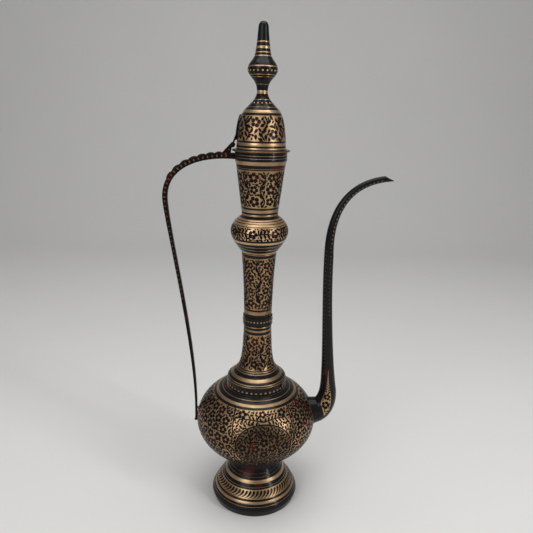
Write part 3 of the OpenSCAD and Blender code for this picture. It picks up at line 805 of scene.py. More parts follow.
class Growth:
    """Motifs on one surface, with the room that each takes, so that later ones keep clear of it."""

    def __init__(self, surface: Outline) -> None:
        """Starts with a bare surface.

        Args:
            surface: the profile that carries the motifs.
        """
        self.surface = surface
        self.shapes: list[Shape] = []
        self.taken: list[Array] = []

    def take(self, angle: Array, run: Array, size: Any) -> None:
        """Notes round places as taken, by angle, length along the profile and radius."""
        self.taken.append(np.stack(np.broadcast_arrays(angle, run, size), axis=-1).reshape(-1, 3))

    def spread(self, angle: float, run: float, flat: Array) -> tuple[Array, Array]:
        """Angles and lengths of flat offsets about a place, each across divided by the radius there."""
        along = run + flat[..., 1]
        return angle + flat[..., 0] / self.surface.at(along)[..., 0], along

    def apart(self, angle: Array, run: Array) -> tuple[Array, Array]:
        """Clear distance of places from the nearest taken one, and the turn that points away from it.

        Args:
            angle: the places' angles.
            run: their lengths along the profile.

        Returns:
            The distances and the turns.
        """
        taken = np.vstack(self.taken)
        turn = wrapped(angle[:, None] - taken[:, 0])
        across, up = turn * self.surface.at(run)[:, :1], run[:, None] - taken[:, 1]
        clear = np.hypot(across, up) - taken[:, 2]
        near = (np.arange(len(run)), clear.argmin(axis=1))
        return clear[near], np.arctan2(-across[near], up[near])

    def bloom(self, angle: Array, run: Any, turn: Any, size: Any) -> None:
        """Adds flowers."""
        self.shapes.append(flowers(self.surface, angle, run, turn, size))
        self.take(angle, run, size)

    def stem(self, angle: Array, run: Array, width: float) -> None:
        """Adds stems along lines."""
        self.shapes.append(stems(self.surface, angle, run, width))
        self.take(angle, run, width / 2)

    def leaf(self, angle: Array, run: Any, turn: Any, length: Any, curl: Any, fat: float,
             free: bool = False) -> None:
        """Adds leaves, and with free only those whose middle and tip are clear of what was there before.

        Args:
            angle: each leaf's foot, round the axis.
            run: each foot, along the profile.
            turn: each leaf's direction.
            length: the leaves' length.
            curl: how far the tips bend aside.
            fat: the width as a share of the length.
            free: whether crowded leaves are left out.
        """
        angle, run, turn, length, curl = np.broadcast_arrays(angle, run, turn, length, curl)
        radius = self.surface.at(run)[:, 0]
        spots = [
            (angle - share * length * np.sin(turn) / radius, run + share * length * np.cos(turn))
            for share in (0.5, 0.9)
        ]
        room, taken = 0.14, 0.30
        if free:
            clear = (self.apart(*spots[0])[0] > room * length) & (self.apart(*spots[1])[0] > 0.0)
            angle, run, turn, length, curl = (a[clear] for a in (angle, run, turn, length, curl))
            spots = [tuple(a[clear] for a in spot) for spot in spots]
        self.shapes.append(leaves(self.surface, angle, run, turn, length, curl, fat))
        self.take(*spots[0], taken * length)

    def fringe(self, run: float, count: int, length: float, turn: float) -> None:
        """Adds a level row of short leaves."""
        sway = 0.25 * np.sin(2.4 * np.arange(count))
        self.leaf(FRONT + evenly(count, 0.5), run, turn + sway, length, CURL, FAT, True)

    def fill(self, low: float, high: float, *lengths: float) -> None:
        """Fills what is left with leaves, each laid along the edge of its nearest neighbour.

        Args:
            low: where to begin along the profile, in millimetres.
            high: where to end.
            lengths: the leaves' lengths in millimetres, longest first.
        """
        row_step, column_step, room, between, lean, shuffle = 0.38, 0.45, 0.22, 0.66, 1.2, 91.7
        for length in lengths:
            found = []
            for row, run in enumerate(np.arange(low, high, row_step * length)):
                radius = float(self.surface.at(np.array([run]))[0, 0])
                count = int(TURN * radius / (column_step * length))
                angle = evenly(count, 0.5 * (row % 2))
                clear, turn = self.apart(angle, np.full(count, run))
                rows = np.stack(np.broadcast_arrays(angle, run, radius, turn + lean), axis=1)
                found.append(rows[clear > room * length])
            spots = np.vstack(found)
            free, chosen = np.ones(len(spots), dtype=bool), []
            for number in np.argsort(np.sin(shuffle * np.arange(len(spots)))):
                if free[number]:
                    chosen.append(number)
                    away = wrapped(spots[:, 0] - spots[number, 0])
                    gap = np.hypot(away * spots[:, 2], spots[:, 1] - spots[number, 1])
                    free &= gap > between * length
            angle, run, radius, turn = spots[chosen].T
            foot = angle + 0.5 * length * np.sin(turn) / radius
            self.leaf(foot, run - 0.5 * length * np.cos(turn), turn, length, 0.30, FAT)


@dataclass(frozen=True)
class Vine:
    """Waving upright stems with leaf pairs, a flower in each hollow, and a fringe above and below."""

    low: float
    high: float
    stems: int
    waves: float
    sway: float
    bloom: float
    leaf: float
    start: float = 0.0
    fringe: float = 4.3
    filler: tuple[float, ...] = (5.2, 4.0, 3.0)
    sparse: bool = False

    def shapes(self, surface: Outline) -> list[Shape]:
        """The vine on a turned piece.

        Args:
            surface: the profile that carries it.

        Returns:
            Flowers, stems and leaves. A stem's place across is a sine of its height; the next mirrors it.
            A sparse vine flowers in every other hollow.
        """
        growth = Growth(surface)
        margin, stem_width, fringe_step, leaf_step = 0.4, 1.4, 3.3, 0.6
        small, vary, lean, curl, fat = 0.82, 0.14, 0.9, 0.26, 0.41
        foot, head = surface.to_run(self.low) + margin, surface.to_run(self.high) - margin
        middle = surface.at(np.array([(foot + head) / 2]))[0, 0]
        number = np.arange(self.stems)
        centre = FRONT + self.start + evenly(self.stems)
        sign = np.where(number % 2 == 0, 1.0, -1.0)
        beat, gap = np.meshgrid(np.arange(int(2 * self.waves)), number)
        wide = (beat + gap) % 2 == 1
        size = np.where(wide, self.bloom, small * self.bloom).ravel()
        spot = (centre[gap] + np.pi / self.stems).ravel()
        along = (foot + (head - foot) * (beat + 0.5) / (2 * self.waves)).ravel()
        turn = (0.4 * beat + gap).ravel()
        shown = wide.ravel() | (not self.sparse)
        growth.bloom(spot[shown], along[shown], turn[shown], size[shown])

        def across(t: Array, which: Array) -> Array:
            """Angle of a stem: its middle and the sine."""
            return centre[which] + sign[which] * self.sway / middle * np.sin(TURN * self.waves * t)

        count = max(int((head - foot) / (leaf_step * self.leaf)), 3)
        at = np.tile((np.arange(count) + 0.35) / count, self.stems)
        stem = np.repeat(number, count)
        for side in SIDES:
            shifted = np.clip(at + (0.25 / count if side > 0 else 0.0), 0.0, 1.0)
            long = self.leaf * (1 + vary * np.sin(7.0 * at + 3.0 * stem + side))
            run = foot + (head - foot) * shifted
            fits = run + 0.75 * long < head
            angle = across(shifted, stem)[fits]
            growth.leaf(angle, run[fits], lean * side, long[fits], curl * side, fat, True)
        t = np.tile(np.linspace(0.0, 1.0, 44), (self.stems, 1))
        growth.stem(across(t, number[:, None]), foot + (head - foot) * t, stem_width)
        low_count, high_count = (TURN * surface.at(np.array([foot, head]))[:, 0] / fringe_step).astype(int)
        growth.fringe(foot, low_count, self.fringe, 0.2)
        growth.fringe(head, high_count, self.fringe * 0.8, np.pi - 0.2)
        growth.fill(foot + 1.4, head - 1.2, *self.filler)
        return growth.shapes


@dataclass(frozen=True)
class Garland:
    """A level stem round a belt with leaf pairs, and flowers at even steps."""

    low: float
    high: float
    blooms: int
    bloom: float
    leaf: float

    def shapes(self, surface: Outline) -> list[Shape]:
        """The garland on a turned piece: a gently waving level stem, its leaves and its flowers.

        Args:
            surface: the profile that carries it.

        Returns:
            Flowers, leaves, and the stem, whose height is a sine of the angle.
        """
        growth = Growth(surface)
        foot, head = float(surface.to_run(self.low)), float(surface.to_run(self.high))
        level = (foot + head) / 2
        spot = FRONT - 0.22 + evenly(self.blooms)
        growth.bloom(spot, level, 1.3 * np.arange(self.blooms), self.bloom)
        sway, lean, inset = 0.7, 0.75, 1.2
        place = FRONT + evenly(self.blooms * 6)
        along = level + sway * np.sin(self.blooms * place)
        for side in SIDES:
            turn = -lean if side > 0 else np.pi + lean
            growth.leaf(place, along, turn, self.leaf, -CURL * side, 0.48, True)
        angle = np.linspace(0.0, TURN, ROUND + 1)[None]
        growth.stem(angle, level + sway * np.sin(self.blooms * angle), 1.2)
        growth.fill(foot + inset, head - inset, 4.8, 3.8, 2.8)
        return growth.shapes


@dataclass(frozen=True)
class LeafRow:
    """A row of commas in a band, each with a thick head above and a tail that sweeps aside."""

    height: float
    count: int
    leaf: float
    slant: float
    curl: float
    fat: float
    swell: float = 0.43

    def shapes(self, surface: Outline) -> list[Shape]:
        """The row on a turned piece, with each comma's head at the height.

        Args:
            surface: the profile that carries it.

        Returns:
            The commas as one shape.
        """
        angle, turn = FRONT + evenly(self.count), np.pi + self.slant
        run = surface.to_run(self.height)
        return [leaves(surface, angle, run, turn, self.leaf, self.curl, self.fat, swell=self.swell)]


@dataclass(frozen=True)
class FlowerField:
    """The bowl's ornament: framed medallions, leafy panels above them, and flower clusters between."""

    low: float
    high: float
    bloom: float = 4.8
    pitch: float = 9.8
    medallions: int = 2
    middle: float = 97.4
    half: Span = (30.0, 25.0)
    start: float = 0.14

    def centres(self) -> Array:
        """The medallions' angles round the axis."""
        return FRONT + self.start + evenly(self.medallions)

    def oval(self, around: Array) -> Array:
        """The medallion's edge in flat millimetres: cosine and sine times its half width and height."""
        return np.stack([np.cos(around) * self.half[0], np.sin(around) * self.half[1]], axis=-1)

    def shapes(self, surface: Outline) -> list[Shape]:
        """All of the bowl's ornament, with the gaps filled last.

        Args:
            surface: the profile that carries it.

        Returns:
            Flowers, stems and leaves.
        """
        growth = Growth(surface)
        self.field(growth)
        for centre in self.centres():
            self.medallion(growth, centre)
            self.panel(growth, centre)
        foot, head = surface.to_run(self.low), surface.to_run(self.high)
        margin, inset, lean = 0.4, 1.5, 0.3
        growth.fringe(head - margin, 80, 4.2, np.pi - lean)
        growth.fringe(foot + margin, 54, 4.0, lean)
        growth.fill(foot + inset, head - inset, 5.2, 4.0, 3.0)
        return growth.shapes

    def field(self, growth: Growth) -> None:
        """Rows of flowers outside the medallions and their upper panels.

        Args:
            growth: the bowl's ornament so far.
        """
        surface = growth.surface
        below, above, row_share, clear, panel_low, gap = 1.0, 2.0, 0.88, (8.6, 6.4), 10.0, 0.6
        foot = surface.to_run(self.low) + self.bloom + below
        head = surface.to_run(self.high) - self.bloom - above
        rows = int((head - foot) / (self.pitch * row_share)) + 1
        places = []
        for row, run in enumerate(np.linspace(foot, head, rows)):
            count = max(int(TURN * surface.at(np.array([run]))[0, 0] / self.pitch / 4), 2) * 4
            angle = self.start + evenly(count, 0.5 * (row % 2))
            places.append(np.stack([angle, np.full(count, run)], axis=1))
        angle, run = np.vstack(places).T
        turn = wrapped(angle[:, None] - self.centres())
        across = np.abs(turn * surface.at(run)[:, :1]).min(axis=1)
        up = run - surface.to_run(self.middle)
        frame_gap = np.hypot(across / (self.half[0] + clear[0]), up / (self.half[1] + clear[1]))
        divider = np.interp(up, [2.0, 18.0, 30.0, 40.0], [33.6, 33.2, 31.0, 29.5])
        keep = (frame_gap > 1.0) & ((up < panel_low) | (across > divider + self.bloom + gap))
        angle, run = angle[keep], run[keep]
        size = self.bloom * (0.96 + 0.07 * np.sin(5.1 * np.arange(len(angle))))
        growth.bloom(angle, run, 2.3 * np.arange(len(angle)), size)

    def medallion(self, growth: Growth, centre: float) -> None:
        """An oval frame with a leaf border, four flowers in its middle, four about them, two wavy stems.

        Args:
            growth: the bowl's ornament so far.
            centre: the medallion's angle.
        """
        middle = float(growth.surface.to_run(self.middle))
        angle, run = growth.spread(centre, middle, self.oval(np.linspace(0.0, TURN, 120)))
        growth.stem(angle[None], run[None], 1.5)
        spots = np.array([(-8.6, 0), (8.6, 0), (0, -7.0), (0, 7.0), (-22.6, 0.5), (22.6, 0.5),
                          (-9.5, -16.0), (9.5, -16.0)])
        size = np.repeat([self.bloom, 4.0], [6, 2])
        growth.bloom(*growth.spread(centre, middle, spots), 1.1 * np.arange(len(spots)), size)
        t = np.linspace(0.0, 1.0, 26)
        for side in SIDES:
            line = np.stack([side * (15.4 + 1.7 * np.sin(TURN * t)), -17.0 + 34.0 * t], axis=-1)
            angle, run = growth.spread(centre, middle, line)
            for flank in SIDES:
                growth.leaf(angle[1:-1:3], run[1:-1:3], 0.7 * flank, 5.0, CURL * flank, FAT, True)
            growth.stem(angle[None], run[None], 1.2)
        turn, inner = evenly(40), np.array(self.half) - 1.5
        edge = np.stack([-np.sin(turn) * inner[0], np.cos(turn) * inner[1]], axis=-1)
        growth.leaf(*growth.spread(centre, middle, edge), turn + np.pi + 0.5, 4.3, CURL, FAT, True)

    def panel(self, growth: Growth, centre: float) -> None:
        """Two leafy arms above the frame, three flowers, and a divider down each side of the frame.

        Args:
            growth: the bowl's ornament so far.
            centre: the medallion's angle.
        """
        middle = float(growth.surface.to_run(self.middle))
        spots = np.array([(-21.0, 34.5), (0.0, 35.5), (21.0, 34.5)])
        turn, size = np.array([0.2, 1.2, 2.4]), np.array([5.0, 4.3, 5.0])
        growth.bloom(*growth.spread(centre, middle, spots), turn, size)
        t = np.linspace(0.0, 1.0, 28)
        for side in SIDES:
            arm = np.stack([side * 25.5 * t, 27.6 + 2.6 * np.sin(2.6 * t)], axis=-1)
            angle, run = growth.spread(centre, middle, arm)
            for flank in SIDES:
                turn = -side * (np.pi / 2 - 0.8 * flank)
                growth.leaf(angle[1::4], run[1::4], turn, 5.6, -side * CURL * flank, 0.40, True)
            growth.stem(angle[None], run[None], 1.3)
            ends = ((side * 29.0, 40.0), (side * 30.5, 30.0), (side * 34.0, 18.0), (side * 33.6, 2.0))
            angle, run = growth.spread(centre, middle, Bend(ends, 26).points())
            growth.stem(angle[None], run[None], 1.5)

    def ground(self, surface: Outline) -> Shape:
        """The medallions' darker metal, a painted reflection of dark surroundings: low oval plates, rings
        of a shrinking oval closed at the middle.

        Args:
            surface: the bowl's profile.

        Returns:
            The plates.
        """
        growth, plates = Growth(surface), []
        middle = float(surface.to_run(self.middle))
        rings, corners, proud = 14, 96, 0.06
        size = np.r_[1.0, np.linspace(1.0, 0.04, rings)]
        lift = np.r_[-SUNK, np.full(rings, proud)] - INSET
        for centre in self.centres():
            angle, run = growth.spread(centre, middle, size[:, None, None] * self.oval(circle(corners)))
            grid = surface.place(angle, run, np.broadcast_to(lift[:, None], angle.shape))
            plates.append(Shape(grid.reshape(-1, 3), capped(rings + 1, corners)))
        return Shape.joined(plates)


# Turned pieces


def carry(piece: bpy.types.Object, body: Body) -> None:
    """Makes a piece move with a body."""
    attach(piece, body.value)


def soften(piece: bpy.types.Object) -> None:
    """Rounds a flat piece's edges a little."""
    soft = piece.modifiers.new("soft edges", "BEVEL")
    soft.width, soft.segments, soft.limit_method = 0.25 * MM, 2, "ANGLE"


@dataclass(frozen=True)
class Finishes:
    """The materials that the pieces wear."""

    brass: bpy.types.Material
    worn: bpy.types.Material
    # Brass with painted sunlight: a brighter copy of the aged brass
    polished: bpy.types.Material
    # Darker brass: smoked metal on the trim, and a painted reflection of dark surroundings on the
    # medallions
    smoked_and_shaded: bpy.types.Material
    lacquer: bpy.types.Material
    mottled: bpy.types.Material
    steel: bpy.types.Material


@dataclass
class TurnedPart:
    """A turned brass piece under lacquer: where the metal shows, its dots and its ornament."""

    name: str
    nodes: tuple[str, ...]
    gold: tuple[Span, ...]
    dots: tuple[tuple[float, int, float], ...] = ()
    ornament: tuple[Motif, ...] = ()
    body: Body = Body.VESSEL
    metal: Metal = Metal.BRIGHT

    def outline(self) -> Array:
        """The outer profile, from the foot up, in millimetres."""
        raise NotImplementedError

    def inside(self) -> Array:
        """The way back from the profile's top to its foot, inside the wall."""
        raise NotImplementedError

    def surface(self) -> Outline:
        """The outer profile as an outline."""
        return Outline(self.outline())

    def spans(self, surface: Outline) -> tuple[Array, Array]:
        """Metal and lacquered stretches as lengths along the profile.

        Args:
            surface: the outer profile.

        Returns:
            Starts and ends of the metal, and of the lacquer.
        """
        least = 0.05
        metal = surface.to_run(np.array(self.gold))
        ends = np.r_[0.0, metal.ravel(), surface.run[-1]].reshape(-1, 2)
        return metal, ends[ends[:, 1] - ends[:, 0] > least]

    def brass(self, surface: Outline) -> Shape:
        """The metal under the lacquer: the profile set in, with each bare band slightly rounded.

        Args:
            surface: the outer profile.

        Returns:
            The closed metal body.
        """
        step, wide, rise = 0.9, 6.0, 0.16
        metal, _ = self.spans(surface)
        end = surface.run[-1]
        narrow = metal[metal[:, 1] - metal[:, 0] < wide]
        fine = [np.linspace(low, high, 6) for low, high in narrow]
        run = np.concatenate([np.arange(0.0, end, step), metal.ravel(), surface.corners(), [end], *fine])
        run = np.unique(np.round(run, 4))
        lift = np.full(len(run), -INSET)
        for low, high in narrow:
            share = np.clip((run - low) / (high - low), 0.0, 1.0)
            lift += rise * np.sin(np.pi * share)
        skin = surface.raised(run, lift)
        skin[:, 1] = np.clip(skin[:, 1], surface.points[0, 1], surface.points[-1, 1])
        back = self.inside()
        if back[0, 0] < TINY:
            return turned(chained(back[-1:], skin, back[:1]))
        return turned(chained(skin, back))

    def lacquer(self, surface: Outline) -> Shape:
        """Rings of lacquer on the metal: each stretch lifted, with soft edges, and closed inside it.

        Args:
            surface: the outer profile.

        Returns:
            The rings.
        """
        soft, step, sunk = 0.25, 1.3, 0.2
        rings = []
        for low, high in self.spans(surface)[1]:
            edge = min(soft, (high - low) / 4)
            count = max(int((high - low) / step), 2) + 1
            bends = surface.corners()
            bends = bends[(bends > low + edge) & (bends < high - edge)]
            middle = np.unique(np.round(np.r_[np.linspace(low + edge, high - edge, count), bends], 4))
            run = np.r_[low, low + edge / 3, middle, high - edge / 3, high]
            lift = np.interp(run, [low, low + edge / 3, low + edge], [0.0, 0.7, 1.0])
            lift *= np.interp(run, [high - edge, high - edge / 3, high], [1.0, 0.7, 0.0])
            skin = surface.raised(run, lift * COAT - INSET)
            back = surface.raised(run[::-1], np.full(len(run), -sunk - INSET))
            loop = np.vstack([skin, back])
            loop[:, 1] = np.clip(loop[:, 1], surface.points[0, 1], surface.points[-1, 1])
            rings.append(turned(loop))
        return Shape.joined(rings)

    def build(self, finishes: Finishes) -> None:
        """Makes the metal, the lacquer, the ornament and the dots, and dresses them.

        Args:
            finishes: the materials.
        """
        surface = self.surface()
        metal = getattr(finishes, self.metal.value)
        base = self.brass(surface).piece(f"{self.name}_brass", metal)
        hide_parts(*self.nodes)
        carry(base, self.body)
        rings = self.lacquer(surface).piece(f"{self.name}_lacquer", finishes.lacquer)
        carry(rings, self.body)
        cut = [shape for motif in self.ornament for shape in motif.shapes(surface)]
        if cut:
            blooms = Shape.joined(cut).piece(f"{self.name}_flowers", finishes.mottled)
            carry(blooms, self.body)
        if self.dots:
            rows = Shape.joined(dot_row(surface, *row) for row in self.dots)
            carry(rows.piece(f"{self.name}_dots", metal), self.body)


@dataclass
class Foot(TurnedPart):
    """The bell foot, hollow below."""

    base_r: float = 46.4
    edge_r: float = 48.6
    edge_h: float = 7.0
    waist_r: float = 26.0
    waist_z: float = 47.0
    top: float = 54.8
    bolt_r: float = 4.2

    def outline(self) -> Array:
        """A flaring edge, a bell curve and a short waist.

        Returns:
            The profile's points.
        """
        bell = Bend(((self.edge_r, self.edge_h), (self.edge_r, self.edge_h + 6),
                     (self.waist_r, self.waist_z - 6), (self.waist_r, self.waist_z)), 48)
        return chained([(self.base_r, 0.0)], bell.points(), [(self.waist_r, self.top)])

    def inside(self) -> Array:
        """The hollow under the foot, with the bolt's hole through its floor.

        Returns:
            Points from the top down.
        """
        floor, waist, edge = self.top - 5, self.waist_r - 3, self.edge_r - 3.4
        bell = Bend(((waist, floor), (waist, self.top - 14), (edge, 14.0), (edge, self.edge_h)), 24)
        hole = [(self.bolt_r, self.top), (self.bolt_r, floor)]
        return chained(hole, bell.points(), [(self.base_r - 3, 0.0)])


@dataclass
class Bowl(TurnedPart):
    """The round bowl, a flattened ball in two halves."""

    ornament: tuple[FlowerField, ...] = ()
    radius: float = 65.5
    half_h: float = 47.0
    middle: float = 97.9386
    low: float = 54.8
    high: float = 138.704
    wall: float = 2.2
    bolt_r: float = 4.2

    def build(self, finishes: Finishes) -> None:
        """Adds the medallions' darker ground, a painted reflection of dark surroundings, to what every
        turned piece has.

        Args:
            finishes: the materials.
        """
        super().build(finishes)
        plates = Shape.joined(motif.ground(self.surface()) for motif in self.ornament)
        # The darker brass on these plates is a painted reflection of dark surroundings on the bowl's
        # medallions
        carry(plates.piece(f"{self.name}_medallion_shade", finishes.smoked_and_shaded), self.body)

    def arc(self, inset: float, low: float, high: float, steps: int) -> Array:
        """The bowl's curve between two heights: a cosine out and a sine up of even steps in the lean.

        Args:
            inset: how far inside the outer face.
            low: the lower height.
            high: the upper height.
            steps: how many points.

        Returns:
            Radius and height by point.
        """
        wide, tall = self.radius - inset, self.half_h - inset
        lean = np.linspace(*np.arcsin((np.array([low, high]) - self.middle) / tall), steps)
        return np.stack([wide * np.cos(lean), self.middle + tall * np.sin(lean)], axis=1)

    def outline(self) -> Array:
        """From the waist to the shoulder."""
        return self.arc(0.0, self.low, self.high, 160)

    def inside(self) -> Array:
        """The wall's inner side and the bolt's hole in the floor."""
        inner = self.arc(self.wall, self.low + self.wall, self.high, 60)[::-1]
        return chained(inner, [(self.bolt_r, self.low + self.wall), (self.bolt_r, self.low)])


@dataclass
class Shoulder(TurnedPart):
    """The stepped collar between the bowl and the neck."""

    radius: float = 32.0
    low: float = 138.704
    wall_h: float = 9.4
    high: float = 159.704
    top_r: float = 21.3
    bore_r: float = 12.5

    def outline(self) -> Array:
        """An upright wall and a shallow dome up to the neck.

        Returns:
            The profile's points.
        """
        wall = self.low + self.wall_h
        rise = self.high - wall
        mid_r = self.top_r + 0.35 * (self.radius - self.top_r)
        dome = Bend(((self.radius, wall), (self.radius, wall + rise / 4), (mid_r, wall + 0.45 * rise),
                     (self.top_r, self.high)), 32)
        return chained([(self.radius, self.low)], dome.points())

    def inside(self) -> Array:
        """The bore and the hollow below it.

        Returns:
            Points from the top down.
        """
        inner = self.radius - 2.4
        bore = [(self.bore_r, self.high), (self.bore_r, self.high - 9)]
        return np.array([*bore, (inner, self.low + 7), (inner, self.low)])


@dataclass
class Neck(TurnedPart):
    """The slim neck with a raised ring."""

    low: float = 159.704
    ring: float = 209.504
    upper: float = 219.704
    high: float = 288.704
    foot_r: float = 21.3
    slim_r: float = 14.8
    ring_r: float = 15.8
    top_r: float = 18.2
    bore_r: float = 12.5

    def outline(self) -> Array:
        """A flared lower neck, the ring, and an upper neck that widens.

        Returns:
            The profile's points.
        """
        h, rise = self.ring - self.low, self.top_r - self.slim_r
        flare = Bend(((self.foot_r, self.low), (self.slim_r + 1.8, self.low + 0.12 * h),
                      (self.slim_r + 0.8, self.low + 0.44 * h), (self.slim_r, self.ring)), 40)
        tall = self.high - self.upper
        taper = Bend(((self.slim_r, self.upper), (self.slim_r + 0.15 * rise, self.upper + tall / 3),
                      (self.slim_r + 0.35 * rise, self.upper + 0.7 * tall), (self.top_r, self.high)), 40)
        ring = [(self.ring_r, self.ring + 0.3), (self.ring_r, self.upper - 0.3)]
        return chained(flare.points(), ring, taper.points())

    def inside(self) -> Array:
        """The straight bore."""
        return np.array([(self.bore_r, self.high), (self.bore_r, self.low)])


@dataclass
class Knop(TurnedPart):
    """The swollen knop under the cup."""

    low: float = 288.704
    belt: float = 310.604
    high: float = 326.104
    foot_r: float = 18.2
    radius: float = 29.5
    top_r: float = 18.7
    bore_r: float = 12.5

    def outline(self) -> Array:
        """A hollow curve out to the belt and a round one back in.

        Returns:
            The profile's points.
        """
        up = self.high - self.belt
        below = Bend(((self.foot_r, self.low), (self.foot_r + 2.6, self.low + 4.2),
                      (self.radius, self.belt - 9), (self.radius, self.belt)), 40)
        above = Bend(((self.radius, self.belt), (self.radius, self.belt + 0.42 * up),
                      (self.top_r + 5, self.high - 2.6), (self.top_r, self.high)), 40)
        return chained(below.points(), above.points())

    def inside(self) -> Array:
        """The hollow inside the knop.

        Returns:
            Points from the top down.
        """
        wide = self.radius - 3.5
        return np.array([(self.bore_r, self.high), (self.bore_r, self.high - 4), (wide, self.belt + 2),
                         (wide, self.belt - 3), (self.bore_r, self.low + 4), (self.bore_r, self.low)])


@dataclass
class Cup(TurnedPart):
    """The tapered cup under the lid, with its rim."""

    low: float = 326.104
    rim: float = 377.104
    high: float = 389.704
    foot_r: float = 18.7
    foot_h: float = 4.6
    top_r: float = 24.6
    rim_r: float = 25.9
    bore_r: float = 23.0
    neck_r: float = 12.5

    def outline(self) -> Array:
        """A short foot, a straight taper, and a rim that steps out."""
        return chained([(self.foot_r, self.low), (self.foot_r, self.low + self.foot_h),
                        (self.top_r, self.rim), (self.rim_r, self.rim + 4.4), (self.rim_r, self.high)])

    def inside(self) -> Array:
        """The cup's wall and floor, and the way down to the neck.

        Returns:
            Points from the top down.
        """
        floor = self.low + 3
        return np.array([(self.bore_r, self.high), (self.top_r - 2.3, self.rim), (self.foot_r - 2.2, floor),
                         (self.neck_r, floor), (self.neck_r, self.low)])


@dataclass
class LidDome(TurnedPart):
    """The lid's dome and cap."""

    body: Body = Body.LID
    low: float = 391.304
    cap: float = 428.304
    high: float = 444.704
    dome_r: float = 24.6
    cap_r: float = 17.2
    stem_r: float = 5.3

    def outline(self) -> Array:
        """A tall dome and a cap that narrows to the finial.

        Returns:
            The profile's points.
        """
        h, up, gap = self.cap - self.low, self.high - self.cap, self.cap_r - self.stem_r
        dome = Bend(((self.dome_r, self.low), (self.dome_r - 1, self.low + 0.36 * h),
                     (self.cap_r + 6, self.low + 0.78 * h), (self.cap_r, self.cap)), 40)
        cap = Bend(((self.cap_r, self.cap), (self.stem_r + 0.44 * gap, self.cap + 0.42 * up),
                    (self.stem_r + 0.06 * gap, self.cap + 0.63 * up), (self.stem_r, self.high)), 24)
        return chained(dome.points(), cap.points())

    def inside(self) -> Array:
        """The dome's hollow and the stud's hole.

        Returns:
            Points from the top down.
        """
        hole, under = 2.7, self.cap - 2.5
        return np.array([(hole, self.high), (hole, under), (self.cap_r - 3, under),
                         (self.dome_r - 3.2, self.low + 22), (self.dome_r - 1.9, self.low)])


@dataclass
class Finial(TurnedPart):
    """The finial: a bulb and a spire with a round tip."""

    body: Body = Body.LID
    low: float = 444.704
    high: float = 507.704
    stem_r: float = 5.3
    bulb_r: float = 14.4
    bulb_h: float = 21.0
    spire_r: float = 7.6
    spire_h: float = 35.0
    tip_r: float = 4.9

    def outline(self) -> Array:
        """A stem that swells to the bulb, a shoulder, a slim spire and a quarter circle at the tip.

        Returns:
            The profile's points.
        """
        bulb, spire, end = self.low + self.bulb_h, self.low + self.spire_h, self.high - self.tip_r
        gap = self.tip_r - self.spire_r
        stem = Bend(((self.stem_r, self.low), (self.stem_r, bulb - 8),
                     (self.bulb_r, bulb - 8.5), (self.bulb_r, bulb)), 32)
        top = Bend(((self.bulb_r, bulb), (self.bulb_r, bulb + 5.5),
                    (self.spire_r + 0.6, spire - 6), (self.spire_r, spire)), 28)
        rod = Bend(((self.spire_r, spire), (self.spire_r + 0.5 * gap, spire + 6),
                    (self.spire_r + 0.75 * gap, spire + 16), (self.tip_r, end)), 28)
        lean = np.linspace(0.0, 0.985, 14) * np.pi / 2
        tip = np.stack([self.tip_r * np.cos(lean), end + self.tip_r * np.sin(lean)], axis=1)
        return chained(stem.points(), top.points(), rod.points(), tip)

    def inside(self) -> Array:
        """Nothing: the finial is solid, so its two ends meet the axis."""
        return np.array([(0.0, self.high - INSET), (0.0, self.low)])


# Spout and handle


def ways(points: Array) -> Array:
    """Unit ways along a line of points."""
    return unit(np.gradient(points, axis=0))


class Tube:
    """A bent tube in the plane of the handle and spout, with the same calls as an outline."""

    def __init__(self, line: Array, half: Array, side: Array, slant: Array) -> None:
        """Measures the middle line and keeps the half widths along it.

        Args:
            line: points of the middle line.
            half: half heights.
            side: half depths.
            slant: how far the top leans back.
        """
        self.line, self.half, self.side, self.slant = line, half, side, slant
        self.way = ways(line)
        self.run = run_along(line)

    def read(self, values: Array, run: Array) -> Array:
        """A value along the line at lengths along it."""
        return np.interp(run, self.run, values)

    def at(self, run: Array) -> Array:
        """The tube's radius, and its height, at lengths along the line."""
        return np.stack([self.read(self.half, run), self.read(self.line[:, 1], run)], axis=-1)

    def place(self, angle: Array, run: Array, lift: Any) -> Array:
        """Points in metres: the line, plus half height times cosine up and half depth times sine across.

        Args:
            angle: angles round the tube.
            run: lengths along it.
            lift: how far out of its face.

        Returns:
            The points.
        """
        angle, run, lift = np.broadcast_arrays(angle, run, lift)
        x, z = (self.read(self.line[:, i], run) for i in (0, 1))
        wx, wz = (self.read(self.way[:, i], run) for i in (0, 1))
        high = (self.read(self.half, run) + lift) * np.cos(angle)
        back = self.read(self.slant, run) * (1 + np.cos(angle)) / 2
        y = -(self.read(self.side, run) + lift) * np.sin(angle)
        return np.stack([x - high * wz - back * wx, y, z + high * wx - back * wz], axis=-1) * MM

    def forward(self, run: Array) -> Array:
        """Unit ways along the tube."""
        wx, wz = (self.read(self.way[:, i], run) for i in (0, 1))
        return np.stack([wx, np.zeros_like(wx), wz], axis=-1)

    def normal(self, angle: Array, run: Array) -> Array:
        """Outward unit normals."""
        wx, wz = (self.read(self.way[:, i], run) for i in (0, 1))
        return np.stack([-wz * np.cos(angle), -np.sin(angle), wx * np.cos(angle)], axis=-1)


# The spout's metal panels: lengths along the tube, and there the half width and turn from its inner side
PANEL_RUN = (5.6, 7.5, 10.5, 13.5, 18.0, 24.0, 29.0, 35.0, 43.0, 58.0)
PANEL_HALF = (0.0, 0.17, 0.36, 0.51, 0.52, 0.47, 0.39, 0.27, 0.16, 0.0)
PANEL_TURN = (2.05, 1.95, 1.78, 1.58, 1.49, 1.45, 1.45, 1.48, 1.51, 1.57)


